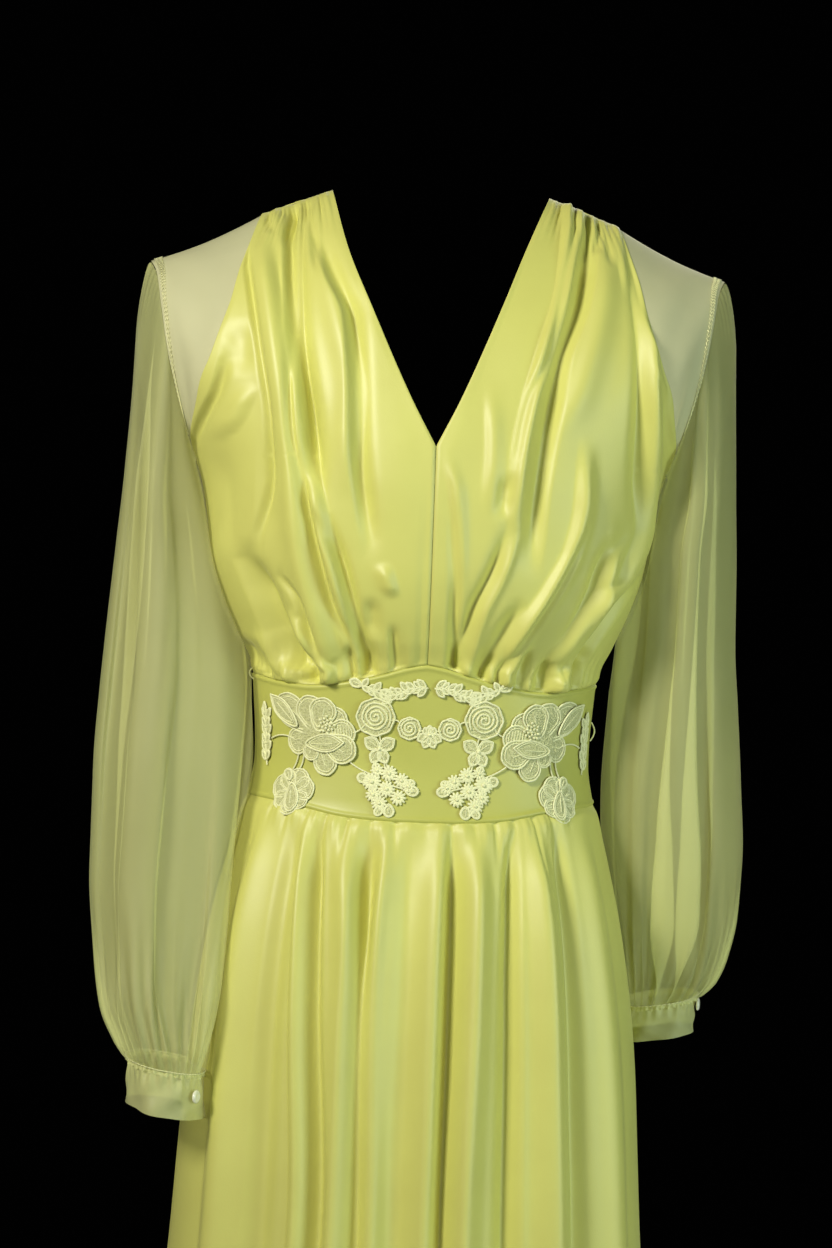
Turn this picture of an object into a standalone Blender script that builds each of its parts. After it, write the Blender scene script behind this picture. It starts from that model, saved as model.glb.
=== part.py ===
"""A long evening dress with a V neck, gathered satin bodice, shaped waist band
with thick lace, gathered satin skirt, and sheer chiffon yokes and sleeves.

Metres, +Z up. The dress faces -Y and hangs from its shoulders: the origin is
midway between the two shoulder seams, level with the neck ends of the seams.
"Right" and "left" are the wearer's, so the right side is at -X.
"""

import math

import bmesh
import bpy
from mathutils import Vector

# Cloth and seams
SATIN = 0.0013
CHIFFON = 0.0010
CUFF_CLOTH = 0.0013
LACE_PETAL = 0.0014
LACE_CORD = 0.0024
SEAM = 0.0003
LACE_LIFT = 0.0008

# Lengths of the dress, measured down from the shoulder seams' neck ends
HEM = -1.420
UNDERARM = -0.191
CUFF_RIGHT, CUFF_LEFT = 0.030, 0.024

# The figure that the cloth follows: height, half width, front depth, back depth
FIGURE = (
    (0.010, 0.1960, 0.062, 0.055),
    (-0.052, 0.2015, 0.088, 0.072),
    (-0.080, 0.2050, 0.099, 0.080),
    (-0.100, 0.2045, 0.105, 0.084),
    (-0.130, 0.1960, 0.113, 0.089),
    (-0.160, 0.1775, 0.120, 0.092),
    (-0.191, 0.1636, 0.124, 0.094),
    (-0.210, 0.1580, 0.125, 0.095),
    (-0.258, 0.1500, 0.121, 0.093),
    (-0.289, 0.1400, 0.114, 0.089),
    (-0.310, 0.1300, 0.105, 0.084),
    (-0.328, 0.1205, 0.095, 0.078),
    (-0.352, 0.1177, 0.092, 0.076),
    (-0.394, 0.1160, 0.088, 0.075),
    (-0.418, 0.1195, 0.090, 0.079),
    (-0.432, 0.1245, 0.093, 0.083),
    (-0.470, 0.1345, 0.104, 0.095),
    (-0.506, 0.1425, 0.112, 0.105),
    (-0.560, 0.1510, 0.118, 0.113),
    (-0.604, 0.1555, 0.121, 0.117),
    (-0.660, 0.1595, 0.124, 0.120),
    (-0.730, 0.1640, 0.127, 0.123),
    (-0.900, 0.1800, 0.138, 0.134),
    (-1.100, 0.2010, 0.155, 0.150),
    (-1.420, 0.2380, 0.184, 0.176),
)
SQUARENESS = 2.4

# Shoulder seam and neck: distance out from the centre, height
SHOULDER = ((0.0755, 0.0015), (0.0980, -0.0063), (0.1235, -0.0165))
SHOULDER_ROUND = 0.115

# Neck edges of the front panels, then of the back: height, distance out
NECK_RIGHT = ((0.002, 0.0760), (-0.045, 0.0632), (-0.090, 0.0447), (-0.150, 0.0172), (-0.182, 0.0))
NECK_LEFT = ((0.002, 0.0760), (-0.045, 0.0570), (-0.090, 0.0400), (-0.150, 0.0155), (-0.182, 0.0))
NECK_BACK = ((0.002, 0.0760), (-0.045, 0.0615), (-0.090, 0.0435), (-0.150, 0.0190), (-0.186, 0.0))

# The satin's outer edge: height, degrees round from the side seam
SATIN_EDGE = (
    (-0.0165, 55.4),
    (-0.040, 53.6),
    (-0.060, 52.0),
    (-0.078, 51.2),
    (-0.100, 48.6),
    (-0.123, 43.4),
    (-0.148, 32.4),
    (-0.165, 21.6),
    (-0.179, 9.5),
    (-0.1886, 4.2),
    (-0.191, 0.0),
)

# Armhole seam: degrees round from the shoulder tip, distance out, and how far
# it opens in front of the side plane and behind it
ARMHOLE = (
    (0.0, 0.2012, 0.000, 0.000),
    (15.0, 0.1990, 0.011, 0.011),
    (30.0, 0.1953, 0.021, 0.020),
    (60.0, 0.1897, 0.041, 0.0375),
    (90.0, 0.1828, 0.0515, 0.0450),
    (120.0, 0.1733, 0.0455, 0.0370),
    (146.0, 0.1667, 0.0272, 0.0175),
    (165.0, 0.1645, 0.0140, 0.0095),
    (180.0, 0.1636, 0.000, 0.000),
)
ARMHOLE_TOP = -0.052
YOKE_END = 143.0
YOKE_POINT = 146.0
YOKE_BULGE = 0.045
YOKE_SAG = 0.0030
YOKE_FLAT, YOKE_TURN = 10.0, 40.0
YOKE_GAP_SATIN, YOKE_GAP_SLEEVE = 2.6 * SEAM, 2.0 * SEAM
SEAM_OUT, SEAM_SWING, SEAM_UP = 0.45, 0.30, 0.55

# Waist band: distance out from the centre, top height, bottom height
BAND = (
    (0.000, -0.3262, -0.4315),
    (0.010, -0.3280, -0.4315),
    (0.030, -0.3340, -0.4310),
    (0.050, -0.3388, -0.4295),
    (0.078, -0.3425, -0.4245),
    (0.098, -0.3405, -0.4215),
    (0.118, -0.3360, -0.4200),
)
BAND_BACK = (-0.336, -0.420)
BAND_MIDDLE = -0.380

# Folds of the bodice fronts. Each runs through three points, given as distance
# out and height, and has a half width and a rise (a trough's is below zero). It
# runs on past its ends for a share of its length, and fades in over another.
FOLD_PAST, FOLD_FADE = 0.12, 0.30
FOLDS_RIGHT = (
    (0.114, -0.012, 0.108, -0.100, 0.094, -0.205, 0.012, 0.0040),
    (0.101, -0.030, 0.090, -0.130, 0.076, -0.212, 0.012, -0.0055),
    (0.076, -0.205, 0.061, -0.255, 0.041, -0.308, 0.012, -0.0055),
    (0.068, -0.195, 0.058, -0.232, 0.044, -0.290, 0.010, 0.0030),
    (0.100, -0.150, 0.085, -0.228, 0.054, -0.318, 0.010, 0.0035),
    (0.087, -0.025, 0.058, -0.125, 0.043, -0.250, 0.014, -0.0045),
    (0.126, -0.030, 0.133, -0.090, 0.117, -0.190, 0.015, 0.0030),
    (0.136, -0.125, 0.145, -0.158, 0.155, -0.180, 0.013, -0.0025),
    (0.114, -0.255, 0.101, -0.300, 0.074, -0.334, 0.011, -0.0055),
    (0.094, -0.275, 0.081, -0.311, 0.062, -0.338, 0.009, 0.0050),
    (0.046, -0.300, 0.041, -0.318, 0.037, -0.338, 0.007, -0.0035),
    (0.026, -0.296, 0.024, -0.315, 0.023, -0.334, 0.007, -0.0035),
)
FOLDS_LEFT = (
    (0.087, -0.010, 0.068, -0.100, 0.047, -0.200, 0.011, 0.0060),
    (0.086, -0.060, 0.065, -0.140, 0.056, -0.250, 0.011, -0.0060),
    (0.115, -0.020, 0.115, -0.125, 0.119, -0.230, 0.012, 0.0040),
    (0.128, -0.060, 0.129, -0.130, 0.132, -0.205, 0.013, -0.0030),
    (0.136, -0.090, 0.143, -0.130, 0.148, -0.190, 0.012, 0.0020),
    (0.094, -0.212, 0.084, -0.262, 0.050, -0.330, 0.011, 0.0055),
    (0.050, -0.225, 0.034, -0.270, 0.021, -0.328, 0.010, -0.0050),
    (0.118, -0.234, 0.099, -0.275, 0.070, -0.332, 0.009, -0.0050),
    (0.125, -0.258, 0.112, -0.284, 0.085, -0.338, 0.009, 0.0045),
    (0.006, -0.195, 0.014, -0.228, 0.015, -0.280, 0.007, 0.0030),
    (0.070, -0.290, 0.060, -0.315, 0.052, -0.338, 0.007, -0.0035),
    (0.036, -0.296, 0.033, -0.315, 0.032, -0.334, 0.007, -0.0035),
)
BACK_FOLDS = (
    (0.098, -0.020, 0.086, -0.130, 0.070, -0.260, 0.013, 0.0035),
    (0.095, -0.200, 0.085, -0.270, 0.060, -0.335, 0.014, -0.0045),
    (0.050, -0.230, 0.045, -0.290, 0.035, -0.335, 0.014, 0.0040),
    (0.125, -0.220, 0.112, -0.280, 0.090, -0.335, 0.014, 0.0040),
)

# Skirt folds: degrees round from the side seam at the band and at the hem,
# half width in degrees at the band and at the hem, rise at the hem
SKIRT_FRONT_FOLDS = (
    (33.0, 31.0, 7.5, 11.0, 0.0077),
    (46.5, 45.0, 6.0, 8.0, -0.0063),
    (57.0, 56.0, 6.5, 9.0, 0.0091),
    (66.5, 65.5, 5.5, 7.0, -0.0077),
    (76.0, 74.0, 6.0, 7.5, 0.0091),
    (83.5, 81.0, 4.8, 6.5, -0.0070),
    (93.0, 89.5, 6.0, 7.5, 0.0070),
    (102.0, 99.0, 5.0, 7.0, -0.0084),
    (111.0, 107.0, 6.0, 8.0, 0.0091),
    (119.8, 116.0, 5.0, 7.0, -0.0063),
    (128.0, 128.0, 6.5, 10.0, 0.0084),
)
SKIRT_BACK_FOLDS = (
    (26.0, 22.0, 7.0, 10.0, 0.0063),
    (36.0, 32.0, 6.0, 8.5, -0.0063),
    (46.0, 42.0, 6.5, 9.0, 0.0084),
    (56.0, 53.0, 6.0, 8.5, -0.0070),
    (66.0, 63.5, 6.5, 9.0, 0.0091),
    (75.5, 73.5, 5.5, 7.5, -0.0070),
)
SKIRT_GATHER, FOLD_AT_BAND, FOLD_DRIFT = 0.06, 0.30, 0.8
SKIRT_SIDE_HELD, SKIRT_CENTRE_HELD = 12.0, 8.0
SKIRT_SPREAD, FOLD_SIDEWAYS = 1.5, 0.8

# Sleeves below the armhole: height, inner and outer distance from the centre,
# front and back distance from the side plane
SLEEVE_RIGHT = (
    (-0.083, 0.1500, 0.2088, -0.052, 0.062),
    (-0.139, 0.1500, 0.2092, -0.052, 0.062),
    (-0.200, 0.1500, 0.2115, -0.052, 0.062),
    (-0.250, 0.1370, 0.2155, -0.054, 0.068),
    (-0.307, 0.1230, 0.2195, -0.064, 0.062),
    (-0.350, 0.1180, 0.2220, -0.074, 0.052),
    (-0.400, 0.1195, 0.2240, -0.086, 0.040),
    (-0.471, 0.1245, 0.2240, -0.096, 0.024),
    (-0.524, 0.1285, 0.2185, -0.108, 0.008),
    (-0.564, 0.1330, 0.2110, -0.116, -0.010),
    (-0.586, 0.1375, 0.2000, -0.116, -0.024),
    (-0.600, 0.1415, 0.1910, -0.111, -0.038),
)
SLEEVE_LEFT = (
    (-0.083, 0.1500, 0.2098, -0.048, 0.064),
    (-0.139, 0.1500, 0.2100, -0.048, 0.064),
    (-0.200, 0.1500, 0.2108, -0.048, 0.064),
    (-0.250, 0.1400, 0.2130, -0.044, 0.072),
    (-0.307, 0.1385, 0.2140, -0.040, 0.076),
    (-0.350, 0.1340, 0.2175, -0.038, 0.080),
    (-0.406, 0.1310, 0.2225, -0.034, 0.086),
    (-0.460, 0.1345, 0.2270, -0.026, 0.094),
    (-0.500, 0.1400, 0.2265, -0.016, 0.100),
    (-0.530, 0.1440, 0.2225, -0.004, 0.100),
    (-0.548, 0.1480, 0.2160, 0.006, 0.096),
    (-0.562, 0.1520, 0.2030, 0.014, 0.088),
)
SLEEVE_CLEARANCE = 0.0035
SLEEVE_SQUARENESS = 2.2
SLEEVE_JOIN, SLEEVE_JOIN_OUTER, OUTER_TURNS = 0.18, 0.08, 60.0
SLEEVE_FOLD_START, SLEEVE_FOLD_END = 0.35, 0.06
# At the underarm the sleeve's top is let out, elsewhere it hangs under the yoke's edge
UNDERARM_START, UNDERARM_BLEND = 110.0, 36.0
UNDERARM_OUT, UNDERARM_APART, YOKE_EDGE_DROP = 0.0022, 0.0008, 0.0011
CUFF_TILT = 0.005
CUFF_FLARE = 0.03

# Sleeve folds: degrees round from the outer line, half width in degrees, rise
SLEEVE_FOLDS = (
    (12.0, 14.0, 0.0030),
    (42.0, 15.0, -0.0035),
    (70.0, 14.0, 0.0035),
    (101.0, 16.0, -0.0040),
    (131.0, 14.0, 0.0030),
    (163.0, 15.0, -0.0025),
    (198.0, 16.0, 0.0025),
    (232.0, 16.0, -0.0035),
    (265.0, 15.0, 0.0035),
    (300.0, 16.0, -0.0035),
    (333.0, 13.0, 0.0025),
)

BUTTON_RADIUS = 0.0045
BUTTON_THICKNESS = 0.0028
BUTTON_LIFT = 0.0009
BUTTON_PROFILE = ((0.0, 0.0), (0.80, 0.0), (1.0, 0.30), (0.92, 0.62), (0.60, 0.90), (0.0, 1.0))

# Lace motifs, cut out and sewn on the band, mirrored about its centre: distance
# along the band, height, core radius, points round the edge, rings
LACE_SHIFT = 0.003
MOTIFS = {
    "flower": (0.0760, -0.3765, 0.0185, 36, 3),
    "rose": (0.0360, -0.3622, 0.0118, 18, 2),
    "bud": (0.0135, -0.3690, 0.0068, 12, 1),
    "daisies": (0.0270, -0.4090, 0.0125, 28, 2),
    "tulip": (0.0925, -0.4150, 0.0100, 22, 2),
    "sprig": (0.1220, -0.3790, 0.0060, 22, 2),
    "garland": (0.0260, -0.3450, 0.0026, 22, 2),
    "trefoil": (0.0330, -0.3835, 0.0036, 16, 1),
    "fan": (0.0000, -0.3730, 0.0045, 16, 1),
}
# Petals of each motif: degrees from outward, length, half angle in degrees
PETALS = {
    "flower": (
        (38.0, 0.0400, 22.0), (72.0, 0.0275, 22.0), (104.0, 0.0255, 22.0),
        (138.0, 0.0250, 24.0), (172.0, 0.0270, 22.0), (205.0, 0.0290, 22.0),
        (250.0, 0.0270, 24.0), (345.0, 0.0230, 24.0),
    ),
    "rose": (
        (10.0, 0.0128, 36.0), (82.0, 0.0126, 36.0), (154.0, 0.0128, 36.0),
        (226.0, 0.0126, 36.0), (298.0, 0.0128, 36.0),
    ),
    "bud": ((60.0, 0.0078, 45.0), (150.0, 0.0078, 45.0), (240.0, 0.0076, 45.0), (330.0, 0.0078, 45.0)),
    "daisies": (
        (20.0, 0.0200, 24.0), (64.0, 0.0165, 24.0), (118.0, 0.0180, 26.0), (170.0, 0.0165, 24.0),
        (215.0, 0.0150, 24.0), (262.0, 0.0190, 24.0), (312.0, 0.0165, 24.0),
    ),
    "tulip": (
        (18.0, 0.0165, 24.0), (62.0, 0.0160, 24.0), (118.0, 0.0170, 26.0), (165.0, 0.0165, 24.0),
        (215.0, 0.0145, 22.0), (268.0, 0.0145, 26.0), (322.0, 0.0145, 22.0),
    ),
    "sprig": (
        (15.0, 0.0085, 26.0), (65.0, 0.0190, 22.0), (108.0, 0.0220, 22.0), (172.0, 0.0080, 26.0),
        (235.0, 0.0160, 24.0), (275.0, 0.0205, 22.0), (320.0, 0.0130, 24.0),
    ),
    "garland": ((4.0, 0.0200, 26.0), (58.0, 0.0036, 30.0), (176.0, 0.0230, 24.0), (120.0, 0.0032, 30.0)),
    "trefoil": ((35.0, 0.0120, 32.0), (145.0, 0.0120, 32.0), (242.0, 0.0100, 28.0), (298.0, 0.0100, 28.0)),
    "fan": ((60.0, 0.0050, 30.0), (120.0, 0.0050, 30.0), (215.0, 0.0085, 26.0),
            (270.0, 0.0100, 26.0), (325.0, 0.0085, 26.0)),
}

# Grid steps
FRONT_COLUMNS, BACK_COLUMNS, BODICE_ROWS = 22, 9, 20
ROW_SPREAD = 1.25
EDGE_HELD = 1.6
YOKE_COLUMNS, YOKE_SEAM_ROWS = 4, 11
BAND_COLUMNS, BAND_ROWS = 2 * FRONT_COLUMNS, 4
SKIRT_COLUMNS, SKIRT_ROWS = 2 * FRONT_COLUMNS, 8
UNDERARM_TURNS = (155.0, 168.0, 180.0, 192.0, 205.0)
SLEEVE_ROWS = (0.0, 0.055, 0.13, 0.235, 0.36, 0.49, 0.62, 0.74, 0.85, 0.94, 1.0)
CUFF_COLUMNS, CUFF_ROWS = 20, 1
BUTTON_STEPS = 9
ROUTE_STEPS = 240
EDGE_STEP, TURN_STEP = 0.002, 1.0
SHARP_FROM = 50


for old in list(bpy.data.objects):
    bpy.data.objects.remove(old, do_unlink=True)


def curve_of(rows, column):
    """A smooth curve of one column of a table against the table's first column."""
    ordered = sorted(rows)
    keys = [row[0] for row in ordered]
    values = [row[column] for row in ordered]
    steps = [(values[i + 1] - values[i]) / (keys[i + 1] - keys[i]) for i in range(len(keys) - 1)]
    slopes = [steps[0]]
    for before, after in zip(steps, steps[1:]):
        level = before * after <= 0
        slopes.append(0.0 if level else 2 * before * after / (before + after))
    slopes.append(steps[-1])

    def value(key):
        if key <= keys[0]:
            return values[0]
        if key >= keys[-1]:
            return values[-1]
        i = max(j for j in range(len(keys) - 1) if keys[j] <= key)
        width = keys[i + 1] - keys[i]
        t = (key - keys[i]) / width
        start = (1 + 2 * t) * (1 - t) ** 2 * values[i] + t * (1 - t) ** 2 * width * slopes[i]
        end = t * t * (3 - 2 * t) * values[i + 1] - t * t * (1 - t) * width * slopes[i + 1]
        return start + end

    return value


def blend(a, b, t):
    return a + (b - a) * t


def ease(t):
    t = min(1.0, max(0.0, t))
    return t * t * (3 - 2 * t)


half_width = curve_of(FIGURE, 1)
front_depth = curve_of(FIGURE, 2)
back_depth = curve_of(FIGURE, 3)
shoulder_height = curve_of(SHOULDER, 1)
satin_edge = curve_of(SATIN_EDGE, 1)
band_top = curve_of(BAND, 1)
band_bottom = curve_of(BAND, 2)
armhole_out = curve_of(ARMHOLE, 1)
armhole_front = curve_of(ARMHOLE, 2)
armhole_back = curve_of(ARMHOLE, 3)


def figure_point(degrees, height, face, below=1.0):
    """A point on the figure at x >= 0. Degrees run from the side seam to the
    centre, face is -1 in front and 1 behind, and below is how far under the
    shoulder seam it lies, against the shoulder's rounding."""
    turn = math.radians(degrees)
    power = 2 / SQUARENESS
    depth = front_depth(height) if face < 0 else back_depth(height)
    t = min(1.0, max(0.0, below))
    rounding = math.sqrt(1 - (1 - t) ** 2)
    out = half_width(height) * abs(math.cos(turn)) ** power
    return Vector((out, face * depth * abs(math.sin(turn)) ** power * rounding, height))


def degrees_at(out, height):
    share = min(1.0, max(0.0, out / half_width(height)))
    return math.degrees(math.acos(share ** (SQUARENESS / 2)))


def fold_rise(folds, out, height):
    """How far the folds lift or sink the cloth at a place on a panel."""
    total = 0.0
    for x0, z0, x1, z1, x2, z2, width, rise in folds:
        along = (z0 - height) / (z0 - z2)
        if not -FOLD_PAST < along < 1 + FOLD_PAST:
            continue
        middle = (z0 - z1) / (z0 - z2)
        bend = (x1 - blend(x0, x2, middle)) / (middle * (1 - middle))
        path = blend(x0, x2, along) + bend * along * (1 - along)
        lean = (x2 - x0 + bend * (1 - 2 * along)) / (z0 - z2)
        across = (out - path) / math.sqrt(1 + lean * lean)
        if abs(across) < width:
            ends = ease((along + FOLD_PAST) / FOLD_FADE) * ease((1 + FOLD_PAST - along) / FOLD_FADE)
            total += rise * ends * 0.5 * (1 + math.cos(math.pi * across / width))
    return total


def normals_of(grid, wraps=False):
    """The facing of each point of a grid of rows and columns."""
    rows, columns = len(grid), len(grid[0])
    facing = []
    for i in range(rows):
        line = []
        for j in range(columns):
            above, below = grid[max(i - 1, 0)][j], grid[min(i + 1, rows - 1)][j]
            if wraps:
                before, after = grid[i][(j - 1) % columns], grid[i][(j + 1) % columns]
            else:
                before, after = grid[i][max(j - 1, 0)], grid[i][min(j + 1, columns - 1)]
            line.append((after - before).cross(below - above).normalized())
        facing.append(line)
    return facing


def without(direction, axis):
    """A direction with one axis left out, for walls that end square to it."""
    flat = direction.copy()
    flat[axis] = 0.0
    return flat.normalized()


def wall(name, grid, facing, thickness, cloth, wraps=False):
    """A closed wall of cloth round a grid of points, half its thickness each way."""
    rows, columns = len(grid), len(grid[0])
    half = thickness / 2
    mesh = bmesh.new()
    outer, inner = [], []
    for i in range(rows):
        outer.append([mesh.verts.new(grid[i][j] + facing[i][j] * half) for j in range(columns)])
        inner.append([mesh.verts.new(grid[i][j] - facing[i][j] * half) for j in range(columns)])
    last = columns if wraps else columns - 1
    for i in range(rows - 1):
        for j in range(last):
            k = (j + 1) % columns
            for side, flip in ((outer, False), (inner, True)):
                a, b, c, d = side[i][j], side[i][k], side[i + 1][k], side[i + 1][j]
                for corners in ((a, b, d), (b, c, d)):
                    mesh.faces.new(corners[::-1] if flip else corners)
    for j in range(last):
        k = (j + 1) % columns
        mesh.faces.new((outer[0][k], outer[0][j], inner[0][j], inner[0][k]))
        mesh.faces.new((outer[-1][j], outer[-1][k], inner[-1][k], inner[-1][j]))
    if not wraps:
        for i in range(rows - 1):
            mesh.faces.new((outer[i][0], outer[i + 1][0], inner[i + 1][0], inner[i][0]))
            mesh.faces.new((outer[i + 1][-1], outer[i][-1], inner[i][-1], inner[i + 1][-1]))
    return finish(name, mesh, cloth)


def finish(name, mesh, cloth):
    """Turns a bmesh into a named object with its faces outward and its material."""
    bmesh.ops.recalc_face_normals(mesh, faces=mesh.faces)
    if mesh.calc_volume(signed=True) < 0:
        bmesh.ops.reverse_faces(mesh, faces=mesh.faces)
    data = bpy.data.meshes.new(name)
    mesh.to_mesh(data)
    mesh.free()
    data.shade_smooth()
    data.set_sharp_from_angle(angle=math.radians(SHARP_FROM))
    data.materials.append(cloth)
    made = bpy.data.objects.new(name, data)
    bpy.context.scene.collection.objects.link(made)
    return made


def material(name, colour, roughness, alpha=1.0, metallic=0.0):
    made = bpy.data.materials.new(name)
    made.use_nodes = True
    shader = made.node_tree.nodes["Principled BSDF"]
    shader.inputs["Base Color"].default_value = (*colour, 1.0)
    shader.inputs["Roughness"].default_value = roughness
    shader.inputs["Metallic"].default_value = metallic
    shader.inputs["Alpha"].default_value = alpha
    made.diffuse_color = (*colour, 1.0)
    return made


def side_of(grid, side):
    """Mirrors a grid to the wearer's right, keeping its columns in order."""
    if side > 0:
        return grid
    return [[Vector((-p.x, p.y, p.z)) for p in row] for row in grid]


def seam_out(degrees):
    """Distance out along the waist band, where its seams' heights are looked up."""
    return half_width(BAND_MIDDLE) * abs(math.cos(math.radians(degrees))) ** (2 / SQUARENESS)


def bodice_panel(name, side, face, neck_rows, folds, columns, cloth):
    """A bodice panel from its centre seam and neck edge to its side seam."""
    neck = curve_of(neck_rows, 1)
    neck_low = neck_rows[-1][0]
    rows = BODICE_ROWS
    grid = []
    for i in range(rows + 1):
        down = (i / rows) ** ROW_SPREAD
        line = []
        for j in range(columns + 1):
            across = j / columns
            top = shoulder_height(blend(SHOULDER[0][0], SHOULDER[-1][0], across))
            low = BAND_BACK[0] if face > 0 else band_top(seam_out(90 * (1 - across)))
            height = blend(top, low + SEAM / 2, down)
            inside = neck(height) if height > neck_low else 0.0
            inner = degrees_at(max(inside, SEAM / 2), height)
            outer = satin_edge(height) if height > UNDERARM else 0.0
            degrees = blend(inner, outer, across)
            line.append(figure_point(degrees, height, face, (top - height) / SHOULDER_ROUND))
        grid.append(line)
    flat = normals_of(grid)
    for i, line in enumerate(grid):
        for j, point in enumerate(line):
            held = ease(min(i, rows - i) / EDGE_HELD) * ease(min(j, columns - j) / EDGE_HELD)
            point += outward_of(flat[i][j], point) * fold_rise(folds, point.x, point.z) * held
            if j == columns and point.z < UNDERARM:
                point.y = face * SEAM / 2
            point.x = max(point.x, SEAM / 2)
    for point in grid[0]:
        point.y = face * SEAM / 2
    grid = side_of(grid, side)
    facing = normals_of(grid)
    for i, line in enumerate(facing):
        if abs(grid[i][0].x) <= SEAM:
            line[0] = without(line[0], 0)
        if grid[i][-1].z < UNDERARM:
            line[-1] = without(line[-1], 1)
        elif grid[i][-1].z > SATIN_EDGE[-3][0] and i > 0:
            line[-1] = satin_facing(grid[i][-1].z, face, side, line[-1])
    facing[0] = [without(direction, 1) for direction in facing[0]]
    facing[-1] = [without(direction, 2) for direction in facing[-1]]
    return wall(name, grid, facing, SATIN, cloth)


def outward_of(facing, point):
    """The facing turned away from the dress's upright centre line."""
    away = Vector((point.x, point.y, 0.0))
    return facing if facing.dot(away) >= 0 else -facing


def armhole_point(degrees):
    """A point of the armhole seam at x >= 0; past 180 degrees it is behind."""
    turn = degrees % 360
    back = turn > 180
    turn = 360 - turn if back else turn
    middle = (ARMHOLE_TOP + UNDERARM) / 2
    height = middle + (ARMHOLE_TOP - UNDERARM) / 2 * math.cos(math.radians(turn))
    depth = armhole_back(turn) if back else -armhole_front(turn)
    return Vector((armhole_out(turn), depth, height))


def yoke_stations():
    """Where the yoke's rows lie: degrees round the armhole, height on the satin."""
    top, point = SHOULDER[-1][1], SATIN_EDGE[-3][0]
    stations = []
    for i in range(YOKE_SEAM_ROWS + 1):
        height = blend(top, BAND_BACK[0] + SEAM / 2, (i / BODICE_ROWS) ** ROW_SPREAD)
        stations.append((YOKE_POINT * (top - height) / (top - point), height))
    stations.append((YOKE_END, blend(top, point, YOKE_END / YOKE_POINT)))
    return stations


def satin_facing(height, face, side, like):
    """The common end facing of satin and yoke along the satin's outer edge."""
    degrees = satin_edge(height)
    below = (SHOULDER[-1][1] - height) / SHOULDER_ROUND
    nearer, farther = degrees + TURN_STEP, degrees - TURN_STEP
    across = figure_point(nearer, height, face, below) - figure_point(farther, height, face, below)
    lower, upper = height - EDGE_STEP, height + EDGE_STEP
    step = EDGE_STEP / SHOULDER_ROUND
    down = figure_point(degrees, lower, face, below + step) - figure_point(degrees, upper, face, below - step)
    away = across.cross(down).normalized()
    away.x *= side
    return away if away.dot(like) >= 0 else -away


def yoke(name, side, cloth):
    """Sheer yoke between the satin's edge and the armhole, over the shoulder."""
    top = SHOULDER[-1][1]
    stations = yoke_stations()
    round_armhole = stations[::-1] + [(-turn, height) for turn, height in stations[1:]]
    grid = []
    for turn, height in round_armhole:
        face = -1 if turn > 0 else 1
        inner = figure_point(satin_edge(height), height, face, (top - height) / SHOULDER_ROUND)
        outer = armhole_point(turn)
        width = (outer - inner).length
        away = (outer - inner).cross(Vector((0, 0, 1))).normalized()
        away = outward_of(away, inner)
        line = []
        for j in range(YOKE_COLUMNS + 1):
            across = blend(YOKE_GAP_SATIN / width, 1 - YOKE_GAP_SLEEVE / width, j / YOKE_COLUMNS)
            bulge = YOKE_BULGE * width * 4 * across * (1 - across)
            bulge *= ease((abs(turn) - YOKE_FLAT) / YOKE_TURN)
            sag = Vector((0, 0, YOKE_SAG * 4 * across * (1 - across) * (1 - ease(abs(turn) / YOKE_TURN))))
            line.append(inner + (outer - inner) * across + away * bulge - sag)
        grid.append(line)
    grid = side_of(grid, side)
    facing = normals_of(grid)
    for (turn, _), line in zip(round_armhole, facing):
        line[-1] = seam_facing(turn, side, line[-1])
    for (turn, height), line in zip(round_armhole, facing):
        if turn:
            line[0] = satin_facing(height, -1 if turn > 0 else 1, side, line[0])
    return wall(name, grid, facing, CHIFFON, cloth)


def seam_facing(turn, side, like):
    """The common end facing of yoke and sleeve along the armhole seam."""
    angle = math.radians(turn)
    out = side * (SEAM_OUT + SEAM_SWING * math.cos(angle))
    direction = Vector((out, -math.sin(angle), SEAM_UP * math.cos(angle)))
    direction.normalize()
    return direction if direction.dot(like) >= 0 else -direction


def band(name, side, cloth, front):
    """The shaped waist band: one piece in front, two behind."""
    count = BAND_COLUMNS if front else BAND_COLUMNS // 2
    grid = []
    for i in range(BAND_ROWS + 1):
        line = []
        for j in range(count + 1):
            across = j / count
            if front:
                turn = blend(180.0, 0.0, across)
                degrees = turn if turn <= 90 else 180 - turn
                sign = 1 if turn <= 90 else -1
                out = seam_out(degrees)
                top, low = band_top(out), band_bottom(out)
            else:
                degrees, sign = blend(90.0, 0.0, across), side
                top, low = BAND_BACK
            height = blend(top - SEAM / 2, low + SEAM / 2, i / BAND_ROWS)
            point = figure_point(degrees, height, -1 if front else 1)
            point.x = max(point.x, 0.0 if front else SEAM / 2) * sign
            if degrees < 0.01:
                point.y = (-1 if front else 1) * SEAM / 2
            line.append(point)
        grid.append(line)
    facing = normals_of(grid)
    for line in facing:
        line[-1] = without(line[-1], 1)
        line[0] = without(line[0], 1 if front else 0)
    for i in (0, -1):
        facing[i] = [without(direction, 2) for direction in facing[i]]
    return wall(name, grid, facing, SATIN, cloth)


def skirt_rise(folds, degrees, down):
    """The rise of the skirt's folds: gathered small at the band, deep at the hem."""
    total = 0.0
    for top, low, top_width, low_width, rise in folds:
        middle = blend(top, low, down ** FOLD_DRIFT)
        width = blend(top_width, low_width, down)
        across = abs(degrees - middle)
        if across < width:
            depth = rise * blend(FOLD_AT_BAND, 1.0, down)
            total += depth * 0.5 * (1 + math.cos(math.pi * across / width))
    return total * ease(down / SKIRT_GATHER)


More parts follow.
